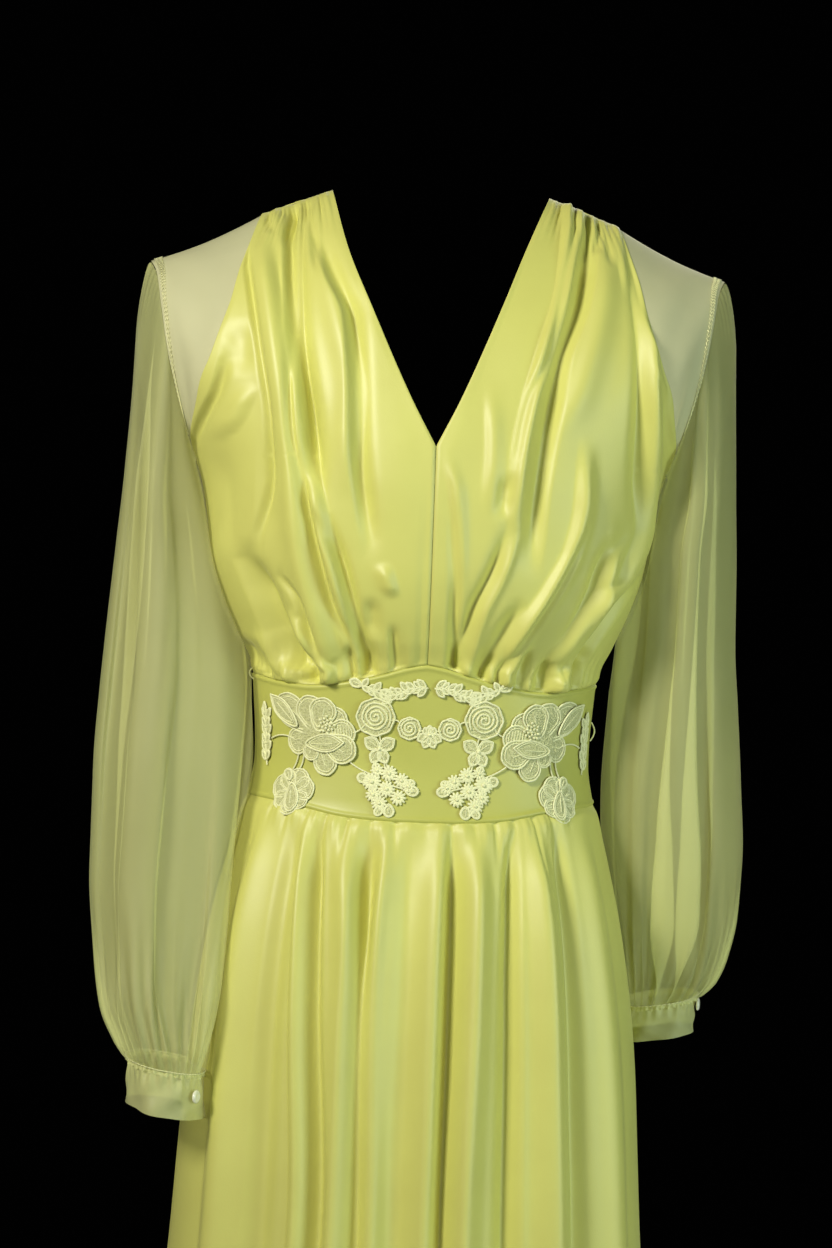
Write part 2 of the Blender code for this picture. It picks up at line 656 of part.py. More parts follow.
def skirt_panel(name, side, front, folds, cloth):
    """A skirt panel from the band's lower seam to the hem: one in front, two behind."""
    count = SKIRT_COLUMNS if front else SKIRT_COLUMNS // 2
    grid = []
    for i in range(SKIRT_ROWS + 1):
        down = (i / SKIRT_ROWS) ** SKIRT_SPREAD
        line = []
        for j in range(count + 1):
            across = j / count
            turn = blend(180.0, 0.0, across) if front else blend(90.0, 0.0, across)
            degrees = turn if turn <= 90 else 180 - turn
            sign = (1 if turn <= 90 else -1) if front else side
            top = band_bottom(seam_out(degrees)) if front else BAND_BACK[1]
            height = blend(top - SEAM / 2, HEM, down)
            point = figure_point(degrees, height, -1 if front else 1)
            rise = skirt_rise(folds, turn, down)
            held = ease(degrees / SKIRT_SIDE_HELD)
            if not front:
                held *= ease((90 - degrees) / SKIRT_CENTRE_HELD)
            away = Vector((point.x * FOLD_SIDEWAYS, point.y, 0.0)).normalized()
            point += away * rise * held
            point.x = max(point.x, 0.0 if front else SEAM / 2) * sign
            if degrees < 0.01:
                point.y = (-1 if front else 1) * SEAM / 2
            line.append(point)
        grid.append(line)
    facing = normals_of(grid)
    for line in facing:
        line[-1] = without(line[-1], 1)
        line[0] = without(line[0], 1 if front else 0)
    for i in (0, -1):
        facing[i] = [without(direction, 2) for direction in facing[i]]
    return wall(name, grid, facing, SATIN, cloth)


def clear_of_dress(point, clearance):
    """Moves a sleeve point out of the dress's body, straight away from its centre."""
    face = front_depth if point.y < 0 else back_depth
    across = abs(point.x) / (half_width(point.z) + clearance)
    deep = abs(point.y) / (face(point.z) + clearance)
    share = (across ** SQUARENESS + deep ** SQUARENESS) ** (1 / SQUARENESS)
    if share < 1 and point.z < UNDERARM:
        point.x /= share
        point.y /= share
    return point


def sleeve_ring(table, height, turn):
    """A point of the hanging part of a sleeve."""
    inner, outer, front, back = (curve_of(table, column)(height) for column in (1, 2, 3, 4))
    angle = math.radians(turn)
    power = 2 / SLEEVE_SQUARENESS
    c, s = math.cos(angle), math.sin(angle)
    x = (inner + outer) / 2 + (outer - inner) / 2 * math.copysign(abs(c) ** power, c)
    y = (front + back) / 2 - (back - front) / 2 * math.copysign(abs(s) ** power, s)
    return Vector((x, y, height))


def sleeve(name, side, table, cloth):
    """A bishop sleeve from the armhole seam down to the gathers at the cuff."""
    bottom = table[-1][0]
    front = [turn for turn, _ in yoke_stations()]
    turns = front + list(UNDERARM_TURNS) + [360.0 - turn for turn in front[:0:-1]]
    grid = []
    for down in SLEEVE_ROWS:
        line = []
        for turn in turns:
            seam = armhole_point(turn)
            round_from_top = abs(abs(turn - 180) - 180)
            under = ease((round_from_top - UNDERARM_START) / UNDERARM_BLEND)
            seam += Vector((UNDERARM_OUT, math.copysign(UNDERARM_APART, seam.y), 0.0)) * under
            seam.z -= YOKE_EDGE_DROP * (1 - under)
            tilt = CUFF_TILT * math.cos(math.radians(turn))
            height = blend(seam.z, bottom + tilt + SEAM, down)
            low = sleeve_ring(table, min(height, table[0][0]), turn)
            low.z = height
            join = ease(down / blend(SLEEVE_JOIN_OUTER, SLEEVE_JOIN, ease(round_from_top / OUTER_TURNS)))
            point = seam.lerp(low, join)
            point.z = height
            rise = 0.0
            for middle, width, lift in SLEEVE_FOLDS:
                apart = abs((turn - middle + 180) % 360 - 180)
                if apart < width:
                    rise += lift * 0.5 * (1 + math.cos(math.pi * apart / width))
            centre = Vector((sum(curve_of(table, k)(height) for k in (1, 2)) / 2,
                             sum(curve_of(table, k)(height) for k in (3, 4)) / 2, height))
            away = point - centre
            away.z = 0
            held = ease(down / SLEEVE_FOLD_START) * ease((1 - down) / SLEEVE_FOLD_END)
            point += away.normalized() * rise * held
            line.append(clear_of_dress(point, SLEEVE_CLEARANCE) if down > 0 else point)
        grid.append(line)
    grid = side_of(grid, side)
    facing = normals_of(grid, wraps=True)
    for j, turn in enumerate(turns):
        if abs(abs(turn - 180) - 180) < UNDERARM_START:
            facing[0][j] = seam_facing(turn, side, facing[0][j])
    facing[-1] = [without(direction, 2) for direction in facing[-1]]
    return wall(name, grid, facing, CHIFFON, cloth, wraps=True)


def cuff_ring(table, turn):
    """The cuff's seam, where the sleeve is gathered in."""
    point = sleeve_ring(table, table[-1][0], turn)
    point.z += CUFF_TILT * math.cos(math.radians(turn)) - SEAM / 2
    return point


def cuff(name, side, table, depth, cloth):
    """A cuff: a straight band, closed by its button."""
    grid = []
    for i in range(CUFF_ROWS + 1):
        line = []
        for j in range(CUFF_COLUMNS):
            turn = 360.0 * j / CUFF_COLUMNS
            point = cuff_ring(table, turn)
            centre = (cuff_ring(table, 0) + cuff_ring(table, 180)) / 2
            flare = 1 + CUFF_FLARE * i / CUFF_ROWS
            point.x = centre.x + (point.x - centre.x) * flare
            point.y = centre.y + (point.y - centre.y) * flare
            point.z -= depth * i / CUFF_ROWS
            line.append(clear_of_dress(point, SLEEVE_CLEARANCE))
        grid.append(line)
    grid = side_of(grid, side)
    facing = [[without(d, 2) for d in line] for line in normals_of(grid, wraps=True)]
    return wall(name, grid, facing, CUFF_CLOTH, cloth, wraps=True)


def cuff_button(name, side, table, turn, below, pearl):
    """A small domed button that lies on the cuff's lap."""
    spot = cuff_ring(table, turn)
    beside = cuff_ring(table, turn + 8.0) - cuff_ring(table, turn - 8.0)
    beside.z = 0.0
    centre = (cuff_ring(table, 0) + cuff_ring(table, 180)) / 2
    away = Vector((beside.y, -beside.x, 0.0)).normalized()
    if away.dot(spot - centre) < 0:
        away = -away
    spot += away * (CUFF_CLOTH / 2 + BUTTON_LIFT)
    spot.z -= below
    if side < 0:
        spot.x, away.x = -spot.x, -away.x
    mesh = bmesh.new()
    ring = [mesh.verts.new((BUTTON_RADIUS * r, 0.0, BUTTON_THICKNESS * h)) for r, h in BUTTON_PROFILE]
    edges = [mesh.edges.new(pair) for pair in zip(ring, ring[1:])]
    bmesh.ops.spin(mesh, geom=ring + edges, cent=(0, 0, 0), axis=(0, 0, 1),
                   angle=math.tau, steps=BUTTON_STEPS, use_merge=True)
    bmesh.ops.remove_doubles(mesh, verts=mesh.verts, dist=1e-6)
    turned = away.to_track_quat("Z", "Y").to_matrix().to_4x4()
    turned.translation = spot
    bmesh.ops.transform(mesh, matrix=turned, verts=mesh.verts)
    return finish(name, mesh, pearl)


def motif_reach(core, petals, turn):
    """How far a lace motif reaches in one direction: its farthest petal there."""
    reach = core
    for middle, length, width in petals:
        apart = abs((turn - middle + 180) % 360 - 180)
        if apart < width:
            reach = max(reach, length * math.cos(math.radians(90 * apart / width)) ** 0.4)
    return reach


def band_route(height):
    """Degrees from the side seam against the length along the band's front."""
    steps = ROUTE_STEPS
    route, length = [(0.0, 90.0)], 0.0
    before = figure_point(90.0, height, -1)
    for k in range(1, steps + 1):
        degrees = 90.0 * (1 - k / steps)
        here = figure_point(degrees, height, -1)
        length += (here - before).length
        route.append((length, degrees))
        before = here
    return route


degrees_along_band = curve_of(band_route(BAND_MIDDLE), 1)


def on_band(along, height, lift):
    """A place on the band's face, given flat, and how far it stands off the cloth."""
    degrees = degrees_along_band(abs(along))
    point = figure_point(degrees, height, -1)
    nearer = min(90.0, degrees + TURN_STEP / 2)
    step = figure_point(nearer - TURN_STEP, height, -1) - figure_point(nearer, height, -1)
    away = outward_of(Vector((-step.y, step.x, 0.0)).normalized(), point)
    point += away * (SATIN / 2 + LACE_LIFT + lift)
    point.x = math.copysign(point.x, along)
    return point


def lace_motif(name, kind, side, thread):
    """One thick corded lace motif: plain behind, petals and cords raised in front."""
    along, height, core, count, rings = MOTIFS[kind]
    petals = PETALS[kind]
    mesh = bmesh.new()
    faces_front, faces_back = [], []
    for lift_of, store in ((True, faces_front), (False, faces_back)):
        middle_lift = LACE_CORD if lift_of else 0.0
        middle = mesh.verts.new(on_band(side * along + LACE_SHIFT, height, middle_lift))
        store.append([middle])
        for ring in range(1, rings + 1):
            share = ring / rings
            line = []
            for k in range(count):
                turn = 360.0 * k / count
                reach = motif_reach(core, petals, turn)
                radius = share * blend(core, reach, share)
                out = along + radius * math.cos(math.radians(turn))
                up = height + radius * math.sin(math.radians(turn))
                raised = blend(LACE_CORD, LACE_PETAL, share) if lift_of else 0.0
                line.append(mesh.verts.new(on_band(side * out + LACE_SHIFT, up, raised)))
            store.append(line)
    for store in (faces_front, faces_back):
        middle, *lines = store
        for k in range(count):
            mesh.faces.new((middle[0], lines[0][k], lines[0][(k + 1) % count]))
        for near, far in zip(lines, lines[1:]):
            for k in range(count):
                m = (k + 1) % count
                mesh.faces.new((near[k], far[k], far[m]))
                mesh.faces.new((near[k], far[m], near[m]))
    for k in range(count):
        m = (k + 1) % count
        front, back = faces_front[-1], faces_back[-1]
        mesh.faces.new((front[k], back[k], back[m], front[m]))
    return finish(name, mesh, thread)


satin = material("satin", (0.60, 0.60, 0.17), 0.38)
chiffon = material("chiffon", (0.62, 0.63, 0.26), 0.70, alpha=0.6)
yoke_chiffon = material("yoke chiffon", (0.62, 0.60, 0.36), 0.70, alpha=0.8)
lace_thread = material("lace thread", (0.82, 0.82, 0.42), 0.75)
pearl = material("pearl button", (0.85, 0.84, 0.66), 0.25)

for word, side, neck, folds in (
    ("right", -1, NECK_RIGHT, FOLDS_RIGHT),
    ("left", 1, NECK_LEFT, FOLDS_LEFT),
):
    bodice_panel(f"bodice_front_{word}", side, -1, neck, folds, FRONT_COLUMNS, satin)
    bodice_panel(f"bodice_back_{word}", side, 1, NECK_BACK, BACK_FOLDS, BACK_COLUMNS, satin)
    yoke(f"yoke_{word}", side, yoke_chiffon)
    band(f"band_back_{word}", side, satin, front=False)
    skirt_panel(f"skirt_back_{word}", side, False, SKIRT_BACK_FOLDS, satin)
    for kind in MOTIFS:
        if kind != "fan":
            lace_motif(f"lace_{kind}_{word}", kind, side, lace_thread)

band("band_front", 1, satin, front=True)
skirt_panel("skirt_front", 1, True, SKIRT_FRONT_FOLDS, satin)
lace_motif("lace_fan", "fan", 1, lace_thread)

for word, side, table, depth, button_turn, button_below in (
    ("right", -1, SLEEVE_RIGHT, CUFF_RIGHT, 143.0, 0.014),
    ("left", 1, SLEEVE_LEFT, CUFF_LEFT, 18.0, 0.006),
):
    sleeve(f"sleeve_{word}", side, table, chiffon)
    cuff(f"cuff_{word}", side, table, depth, chiffon)
    cuff_button(f"cuff_button_{word}", side, table, button_turn, button_below, pearl)
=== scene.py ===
import math

import bmesh
import bpy
import numpy as np
from mathutils import Matrix, Vector


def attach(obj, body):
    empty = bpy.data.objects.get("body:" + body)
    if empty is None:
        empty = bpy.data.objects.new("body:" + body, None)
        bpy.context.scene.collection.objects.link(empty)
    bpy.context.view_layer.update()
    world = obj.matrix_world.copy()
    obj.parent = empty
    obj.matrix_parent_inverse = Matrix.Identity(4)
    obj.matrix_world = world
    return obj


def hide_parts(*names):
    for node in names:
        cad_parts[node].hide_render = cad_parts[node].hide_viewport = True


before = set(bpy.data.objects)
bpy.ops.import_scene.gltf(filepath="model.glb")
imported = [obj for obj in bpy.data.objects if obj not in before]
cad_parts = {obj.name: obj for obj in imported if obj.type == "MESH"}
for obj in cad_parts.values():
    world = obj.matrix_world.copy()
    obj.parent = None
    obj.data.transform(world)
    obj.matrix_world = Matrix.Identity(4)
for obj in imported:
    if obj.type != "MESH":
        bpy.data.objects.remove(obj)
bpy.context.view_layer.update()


# Bodice fronts
# Two panels of slinky satin, gathered into the shoulder seams and again into the
# shaped waist band, joined by a short seam below the V neck. Edges are turned in.
# The dress's body: height, half width, depth in front, depth behind
FIGURE = (
    (0.010, 0.1960, 0.062, 0.055),
    (-0.052, 0.2015, 0.088, 0.072),
    (-0.080, 0.2050, 0.099, 0.080),
    (-0.100, 0.2045, 0.105, 0.084),
    (-0.130, 0.1960, 0.113, 0.089),
    (-0.160, 0.1775, 0.120, 0.092),
    (-0.191, 0.1636, 0.124, 0.094),
    (-0.210, 0.1580, 0.125, 0.095),
    (-0.258, 0.1500, 0.121, 0.093),
    (-0.289, 0.1400, 0.114, 0.089),
    (-0.310, 0.1300, 0.105, 0.084),
    (-0.328, 0.1205, 0.095, 0.078),
    (-0.352, 0.1177, 0.092, 0.076),
    (-0.394, 0.1160, 0.088, 0.075),
    (-0.418, 0.1195, 0.090, 0.079),
    (-0.432, 0.1245, 0.093, 0.083),
    (-0.470, 0.1345, 0.104, 0.095),
    (-0.506, 0.1425, 0.112, 0.105),
    (-0.560, 0.1510, 0.118, 0.113),
    (-0.604, 0.1555, 0.121, 0.117),
    (-0.660, 0.1595, 0.124, 0.120),
    (-0.730, 0.1640, 0.127, 0.123),
    (-0.900, 0.1800, 0.138, 0.134),
    (-1.100, 0.2010, 0.155, 0.150),
    (-1.420, 0.2380, 0.184, 0.176),
)
SQUARENESS = 2.4
# Shoulder seam: distance out, height
SHOULDER = ((0.0755, 0.0015), (0.0980, -0.0063), (0.1235, -0.0165))
SHOULDER_ROUND = 0.115
UNDERARM = -0.191
# Neck edge: height, distance out
NECK = {
    "right": ((0.002, 0.0760), (-0.045, 0.0632), (-0.090, 0.0447), (-0.150, 0.0172), (-0.182, 0.0)),
    "left": ((0.002, 0.0760), (-0.045, 0.0570), (-0.090, 0.0400), (-0.150, 0.0155), (-0.182, 0.0)),
}
# The satin's outer edge: height, degrees round from the side
SATIN_EDGE = (
    (-0.0165, 55.4), (-0.040, 53.6), (-0.060, 52.0), (-0.078, 51.2), (-0.100, 48.6), (-0.123, 43.4),
    (-0.148, 32.4), (-0.165, 21.6), (-0.179, 9.5), (-0.1886, 4.2), (-0.191, 0.0),
)
# Waist band: distance out, top and bottom in front; then top and bottom behind
BAND_EDGE = (
    (0.000, -0.3262, -0.4315), (0.010, -0.3280, -0.4315), (0.030, -0.3340, -0.4310),
    (0.050, -0.3388, -0.4295), (0.078, -0.3425, -0.4245), (0.098, -0.3405, -0.4215),
    (0.118, -0.3360, -0.4200),
)
BAND_BACK = (-0.336, -0.420)
SEAM = 0.0003
SATIN_THICKNESS = 0.0009
GATHERED_ABOVE, GATHERED_BELOW = -0.034, -0.316
SATIN_COLOUR = (0.690, 0.685, 0.170, 1.0)
SATIN_DEEP = (0.620, 0.600, 0.150, 1.0)
SHEEN_ROUGHNESS, SHEEN_TINT = 0.35, (1.0, 0.98, 0.72, 1.0)
THREAD_RELIEF = 0.0002
# The height at which lengths round the waist are measured
WAIST = -0.38
# A crease dies out over this length, or this share of its own if that is less,
# and the fade begins this share of itself beyond the crease's end
CREASE_FADE, CREASE_FADE_SHARE, CREASE_BEYOND = 0.050, 0.55, 0.35


def curve_of(rows, column=1):
    """A smooth curve through one column of a table, against its first column."""
    ordered = np.array(sorted(rows), dtype=float)
    keys, values = ordered[:, 0], ordered[:, column]
    steps = np.diff(values) / np.diff(keys)
    before, after = steps[:-1], steps[1:]
    together = np.where(before + after == 0, 1.0, before + after)
    inner = np.where(before * after > 0, 2 * before * after / together, 0.0)
    slopes = np.concatenate((steps[:1], inner, steps[-1:]))

    def value(key):
        key = np.clip(key, keys[0], keys[-1])
        i = np.clip(np.searchsorted(keys, key, side="right") - 1, 0, len(keys) - 2)
        width = keys[i + 1] - keys[i]
        t = (key - keys[i]) / width
        start = (1 + 2 * t) * (1 - t) ** 2 * values[i] + t * (1 - t) ** 2 * width * slopes[i]
        return start + t * t * (3 - 2 * t) * values[i + 1] - t * t * (1 - t) * width * slopes[i + 1]

    return value


def blend(a, b, t):
    return a + (b - a) * t


def ease(t):
    t = np.clip(t, 0.0, 1.0)
    return t * t * (3 - 2 * t)


def unit(rows):
    """Directions brought to a length of one."""
    return rows / np.maximum(np.linalg.norm(rows, axis=-1, keepdims=True), 1e-9)


def placed(name, data):
    """An object in the scene, from the data of its mesh, lamp or camera."""
    made = bpy.data.objects.new(name, data)
    bpy.context.scene.collection.objects.link(made)
    return made


def set_values(settings):
    for node, entry, value in settings:
        node.inputs[entry].default_value = value


def wire(links, wires):
    """Links nodes: a node and its output, then the node and the input it feeds."""
    for source, output, target, entry in wires:
        links.new(source.outputs[output], target.inputs[entry])


half_width = curve_of(FIGURE, 1)
front_depth = curve_of(FIGURE, 2)
back_depth = curve_of(FIGURE, 3)
shoulder_height = curve_of(SHOULDER)
satin_edge = curve_of(SATIN_EDGE)
band_top = curve_of(BAND_EDGE, 1)
band_bottom = curve_of(BAND_EDGE, 2)


def figure_at(degrees, height, face, below=1.0):
    """Places on the dress's body at x >= 0, degrees round from the side seam."""
    turn = np.radians(degrees)
    depth = front_depth(height) if face < 0 else back_depth(height)
    t = np.clip(below, 0.0, 1.0)
    rounding = np.sqrt(1 - (1 - t) ** 2)
    out = half_width(height) * np.abs(np.cos(turn)) ** (2 / SQUARENESS)
    deep = face * depth * np.abs(np.sin(turn)) ** (2 / SQUARENESS) * rounding
    return np.stack(np.broadcast_arrays(out, deep, height), axis=-1)


def degrees_at(out, height):
    share = np.clip(out / half_width(height), 0.0, 1.0)
    return np.degrees(np.arccos(share ** (SQUARENESS / 2)))


def seam_out(degrees):
    """Distance out along the waist band, where its seams' heights are looked up."""
    return half_width(WAIST) * np.abs(np.cos(np.radians(degrees))) ** (2 / SQUARENESS)


def facing_of(grid):
    """The outward facing of each place on a grid of cloth."""
    facing = unit(np.cross(np.gradient(grid, axis=1), np.gradient(grid, axis=0)))
    away = grid * (1.0, 1.0, 0.0)
    inward = np.sum(facing * away, axis=2, keepdims=True) < 0
    return np.where(inward, -facing, facing)


def crease_depth(creases, out, height):
    """How far the creases lift or sink the cloth; each runs down its own line."""
    total = np.zeros_like(out)
    for width, rise, lean, line in creases:
        top, low = line[0][1], line[-1][1]
        course = curve_of([(z, x) for x, z in line])
        slope = (course(height + 0.002) - course(height - 0.002)) / 0.004
        across = (out - course(height)) / np.sqrt(1 + slope * slope) / width
        across = np.clip(across, -1.0, 1.0)
        across = across + lean * (1 - across * across)
        fade = min(CREASE_FADE, CREASE_FADE_SHARE * (top - low))
        ends = np.ones_like(out)
        if top < GATHERED_ABOVE:
            ends = ends * ease((top + CREASE_BEYOND * fade - height) / fade)
        if low > GATHERED_BELOW:
            ends = ends * ease((height - low + CREASE_BEYOND * fade) / fade)
        total += rise * ends * 0.5 * (1 + np.cos(np.pi * across))
    return total


def sheet_of_cloth(name, grid, cloth, thickness=None, wraps=False):
    """A piece of cloth over a grid of places, given its thickness where it has one."""
    rows, columns = grid.shape[:2]
    number = np.arange(rows * columns).reshape(rows, columns)
    right = np.roll(number, -1, axis=1)
    if not wraps:
        number, right = number[:, :-1], right[:, :-1]
    faces = np.stack((number[:-1], right[:-1], right[1:], number[1:]), axis=-1).reshape(-1, 4)
    data = bpy.data.meshes.new(name)
    data.from_pydata(grid.reshape(-1, 3).tolist(), [], faces.tolist())
    data.update()
    data.shade_smooth()
    data.materials.append(cloth)
    made = placed(name, data)
    if thickness:
        solid = made.modifiers.new("cloth thickness", "SOLIDIFY")
        solid.thickness = thickness
        solid.offset = 0.0
    return made


def weave_of_cloth():
    """A node group: fine threads, slubs and slow unevenness over a woven cloth."""
    group = bpy.data.node_groups.new("woven cloth", "ShaderNodeTree")
    sockets = group.interface
    for name, value in (("Threads", 2600.0), ("Slub", 0.5), ("Unevenness", 22.0), ("Softness", 0.5)):
        socket = sockets.new_socket(name, in_out="INPUT", socket_type="NodeSocketFloat")
        socket.default_value = value
    for name in ("Tone", "Gloss", "Height"):
        sockets.new_socket(name, in_out="OUTPUT", socket_type="NodeSocketFloat")
    nodes, links = group.nodes, group.links
    given, made = nodes.new("NodeGroupInput"), nodes.new("NodeGroupOutput")
    place, stretch, threads, cross, flatten, slow, both, swell, gloss = (
        nodes.new(f"ShaderNode{kind}") for kind in (
            "TexCoord", "Mapping", "TexNoise", "TexNoise", "Mapping", "TexNoise", "Math", "Math", "Math",
        )
    )
    both.operation = swell.operation = "MULTIPLY_ADD"
    gloss.operation = "MULTIPLY"
    set_values((
        (stretch, "Scale", (1.0, 1.0, 0.16)), (flatten, "Scale", (0.22, 0.22, 1.0)),
        (threads, "Detail", 2.0), (cross, "Detail", 1.0), (slow, "Detail", 3.0), (slow, "Roughness", 0.55),
    ))
    wire(links, (
        (place, "Object", stretch, "Vector"), (place, "Object", flatten, "Vector"),
        (stretch, "Vector", threads, "Vector"), (flatten, "Vector", cross, "Vector"),
        (place, "Object", slow, "Vector"), (given, "Threads", threads, "Scale"),
        (given, "Threads", cross, "Scale"), (given, "Unevenness", slow, "Scale"),
        (cross, "Fac", both, 0), (given, "Slub", both, 1), (threads, "Fac", both, 2),
        (slow, "Fac", swell, 0), (given, "Softness", swell, 1), (both, "Value", swell, 2),
        (slow, "Fac", gloss, 0), (threads, "Fac", gloss, 1),
        (slow, "Fac", made, "Tone"), (gloss, "Value", made, "Gloss"), (swell, "Value", made, "Height"),
    ))
    return group


woven = weave_of_cloth()


def dyed_cloth(name, colour, deep, roughness, sheen, threads, relief, alpha=1.0):
    """A material of dyed, woven cloth: two close tones, its gloss and its relief."""
    cloth = bpy.data.materials.new(name)
    cloth.use_nodes = True
    nodes, links = cloth.node_tree.nodes, cloth.node_tree.links
    shader = nodes["Principled BSDF"]
    weave = nodes.new("ShaderNodeGroup")
    weave.node_tree = woven
    tones, gloss, bump = (nodes.new(f"ShaderNode{kind}") for kind in ("Mix", "MapRange", "Bump"))
    tones.data_type = "RGBA"
    set_values((
        (weave, "Threads", threads), (tones, "A", deep), (tones, "B", colour),
        (gloss, "To Min", roughness[0]), (gloss, "To Max", roughness[1]),
        (bump, "Strength", relief), (bump, "Distance", THREAD_RELIEF),
        (shader, "Sheen Weight", sheen), (shader, "Sheen Roughness", SHEEN_ROUGHNESS),
        (shader, "Sheen Tint", SHEEN_TINT), (shader, "Alpha", alpha),
    ))
    wire(links, (
        (weave, "Tone", tones, "Factor"), (tones, "Result", shader, "Base Color"),
        (weave, "Gloss", gloss, "Value"), (gloss, "Result", shader, "Roughness"),
        (weave, "Height", bump, "Height"), (bump, "Normal", shader, "Normal"),
    ))
    return cloth


satin = dyed_cloth("lemon satin", SATIN_COLOUR, SATIN_DEEP, (0.44, 0.58), 0.10, 2600.0, 0.35)
satin.node_tree.nodes["Principled BSDF"].inputs["Specular IOR Level"].default_value = 0.62

MM = 0.001
# Each crease, in millimetres: half width, rise (a trough's is below zero), how far
# its crest leans, and its line as distance out and height
CREASES = {
    "right": (
        (5, -4, 0.0, ((133, -46), (119, -118), (110, -169), (109, -205), (116, -243))),
        (15, 7, 0.4, ((127, -46), (113, -120), (100, -194), (92, -257), (72, -321))),
        (5, -5, 0.0, ((100, -114), (94, -175), (89, -200), (78, -245), (65, -289), (51, -314))),
        (12, -14, -0.4, ((98, -32), (92, -99), (82, -156), (75, -215))),
        (9, -9, -0.4, ((72, -228), (59, -257), (47, -297), (38, -322))),
        (9, 8, 0.3, ((103, -28), (98, -110), (87, -190), (72, -247), (52, -306))),
        (12, -8, -0.4, ((78, -36), (67, -67), (54, -95), (50, -135), (47, -183), (41, -226), (37, -245))),
        (16, 6, 0.3, ((87, -53), (72, -99), (61, -152), (63, -205))),
        (5, -3, 0.0, ((90, -21), (86, -46), (83, -65))),
        (5, -3, 0.0, ((108, -19), (107, -42))),
        (5, -2, 0.0, ((102, -17), (101, -36))),
        (5, -2, 0.0, ((119, -19), (117, -34))),
        (8, -5, -0.3, ((140, -124), (146, -148), (157, -169), (163, -184))),
        (13, 3, 0.3, ((130, -146), (136, -160), (145, -176))),
        (14, -3, 0.0, ((133, -103), (131, -135))),
        (14, -3, -0.3, ((106, -182), (106, -230), (112, -252))),
        (16, -2, -0.3, ((140, -183), (137, -247))),
        (12, 2, 0.3, ((148, -205), (142, -268))),
        (16, -14, -0.4, ((118, -257), (109, -278), (96, -304), (72, -333))),
        (8, 8, 0.3, ((94, -297), (83, -312), (67, -333))),
        (5, -5, 0.0, ((100, -270), (87, -285), (78, -308), (67, -333))),
        (10, -4, -0.3, ((37, -285), (35, -308))),
        (9, 4, 0.3, ((34, -262), (28, -280))),
        (5, -4, 0.0, ((24, -302), (22, -325))),
        (5, -3, 0.0, ((54, -317), (50, -333))),
        (5, -3, 0.0, ((40, -322), (36, -334))),
        (8, -3, -0.3, ((122, -314), (106, -333))),
        (8, 3, -0.3, ((112, -309), (92, -336))),
        (5, -4, 0.0, ((1, -190), (3, -226), (4, -278), (4, -323))),
    ),
    "left": (
        (5, -4, 0.0, ((91, -25), (85, -57), (78, -93), (71, -122), (61, -148), (54, -184), (51, -211))),
        (11, 7, 0.3, ((93, -20), (87, -70), (73, -122), (65, -152), (58, -194), (57, -222))),
        (12, -8, -0.3, ((98, -36), (91, -78), (78, -120), (70, -173), (65, -215), (63, -253))),
        (17, 4, 0.3, ((118, -36), (113, -89), (100, -141), (87, -173))),
        (10, -6, -0.3, ((132, -46), (135, -110), (135, -173), (137, -226))),
        (11, 7, 0.3, (
            (138, -60), (144, -110), (149, -173), (148, -226), (135, -262), (111, -289), (91, -329),
        )),
        (10, 7, 0.3, ((103, -184), (102, -215), (96, -247), (83, -274), (67, -300), (54, -329))),
        (5, -5, 0.0, ((100, -232), (91, -257), (78, -283), (61, -310), (48, -329))),
        (9, -6, -0.3, ((126, -232), (113, -253), (107, -276), (96, -304), (78, -333))),
        (9, 6, 0.3, ((125, -240), (122, -257), (109, -289), (87, -321))),
        (8, -7, -0.3, ((138, -262), (118, -293), (98, -321))),
        (8, 4, 0.3, ((8, -188), (17, -211), (19, -247), (19, -279))),
        (6, -5, 0.0, ((14, -226), (16, -279), (16, -321))),
        (10, -8, -0.3, ((48, -236), (39, -264), (28, -289), (19, -327))),
        (8, 5, 0.3, ((56, -232), (50, -257), (36, -289), (26, -321))),
        (9, -5, -0.3, ((56, -285), (48, -300), (34, -327))),
        (10, 3, 0.3, ((39, -148), (41, -184), (39, -215))),
        (9, -4, 0.0, ((48, -200), (45, -226))),
        (5, -3, 0.0, ((102, -23), (98, -46))),
        (5, -3, 0.0, ((109, -23), (107, -42))),
        (5, -2, 0.0, ((115, -27), (115, -51))),
        (5, 2, 0.0, ((122, -30), (126, -68))),
        (12, 4, 0.3, ((153, -122), (161, -141), (168, -165))),
        (12, -4, -0.3, ((148, -110), (155, -152), (157, -194))),
        (5, -3, 0.0, ((43, -319), (37, -333))),
        (5, -3, 0.0, ((67, -315), (59, -331))),
        (5, -3, 0.0, ((83, -319), (72, -334))),
        (5, -3, 0.0, ((108, -314), (98, -333))),
    ),
}
# Fine gathers: where they lie across the panel (0 centre, 1 side), half width,
# depth as a multiple
SHOULDER_GATHERS = (
    (0.10, 0.045, 0.8), (0.20, 0.040, -1.1), (0.30, 0.045, 1.0), (0.39, 0.040, -1.4), (0.47, 0.035, 1.1),
    (0.56, 0.045, -1.5), (0.65, 0.040, 1.2), (0.73, 0.035, -1.0), (0.81, 0.040, 1.1), (0.90, 0.040, -0.8),
)
BAND_GATHERS = (
    (0.060, 0.022, -1.2), (0.100, 0.020, 0.7), (0.145, 0.022, -1.1), (0.185, 0.022, 0.9),
    (0.225, 0.024, -1.5), (0.270, 0.024, 1.0), (0.310, 0.020, -1.0), (0.350, 0.024, 1.2),
    (0.395, 0.024, -1.5), (0.440, 0.022, 1.0), (0.480, 0.020, -1.2), (0.525, 0.024, 1.1),
    (0.570, 0.022, -1.1), (0.620, 0.026, 0.9), (0.680, 0.026, -0.8), (0.745, 0.030, 0.6),
    (0.820, 0.035, -0.5),
)
SHOULDER_GATHER_DEPTH, SHOULDER_GATHER_RUN = 0.0013, 0.045
BAND_GATHER_DEPTH, BAND_GATHER_RUN = 0.0017, 0.034
FRONT_ROWS, FRONT_COLUMNS = 220, 170
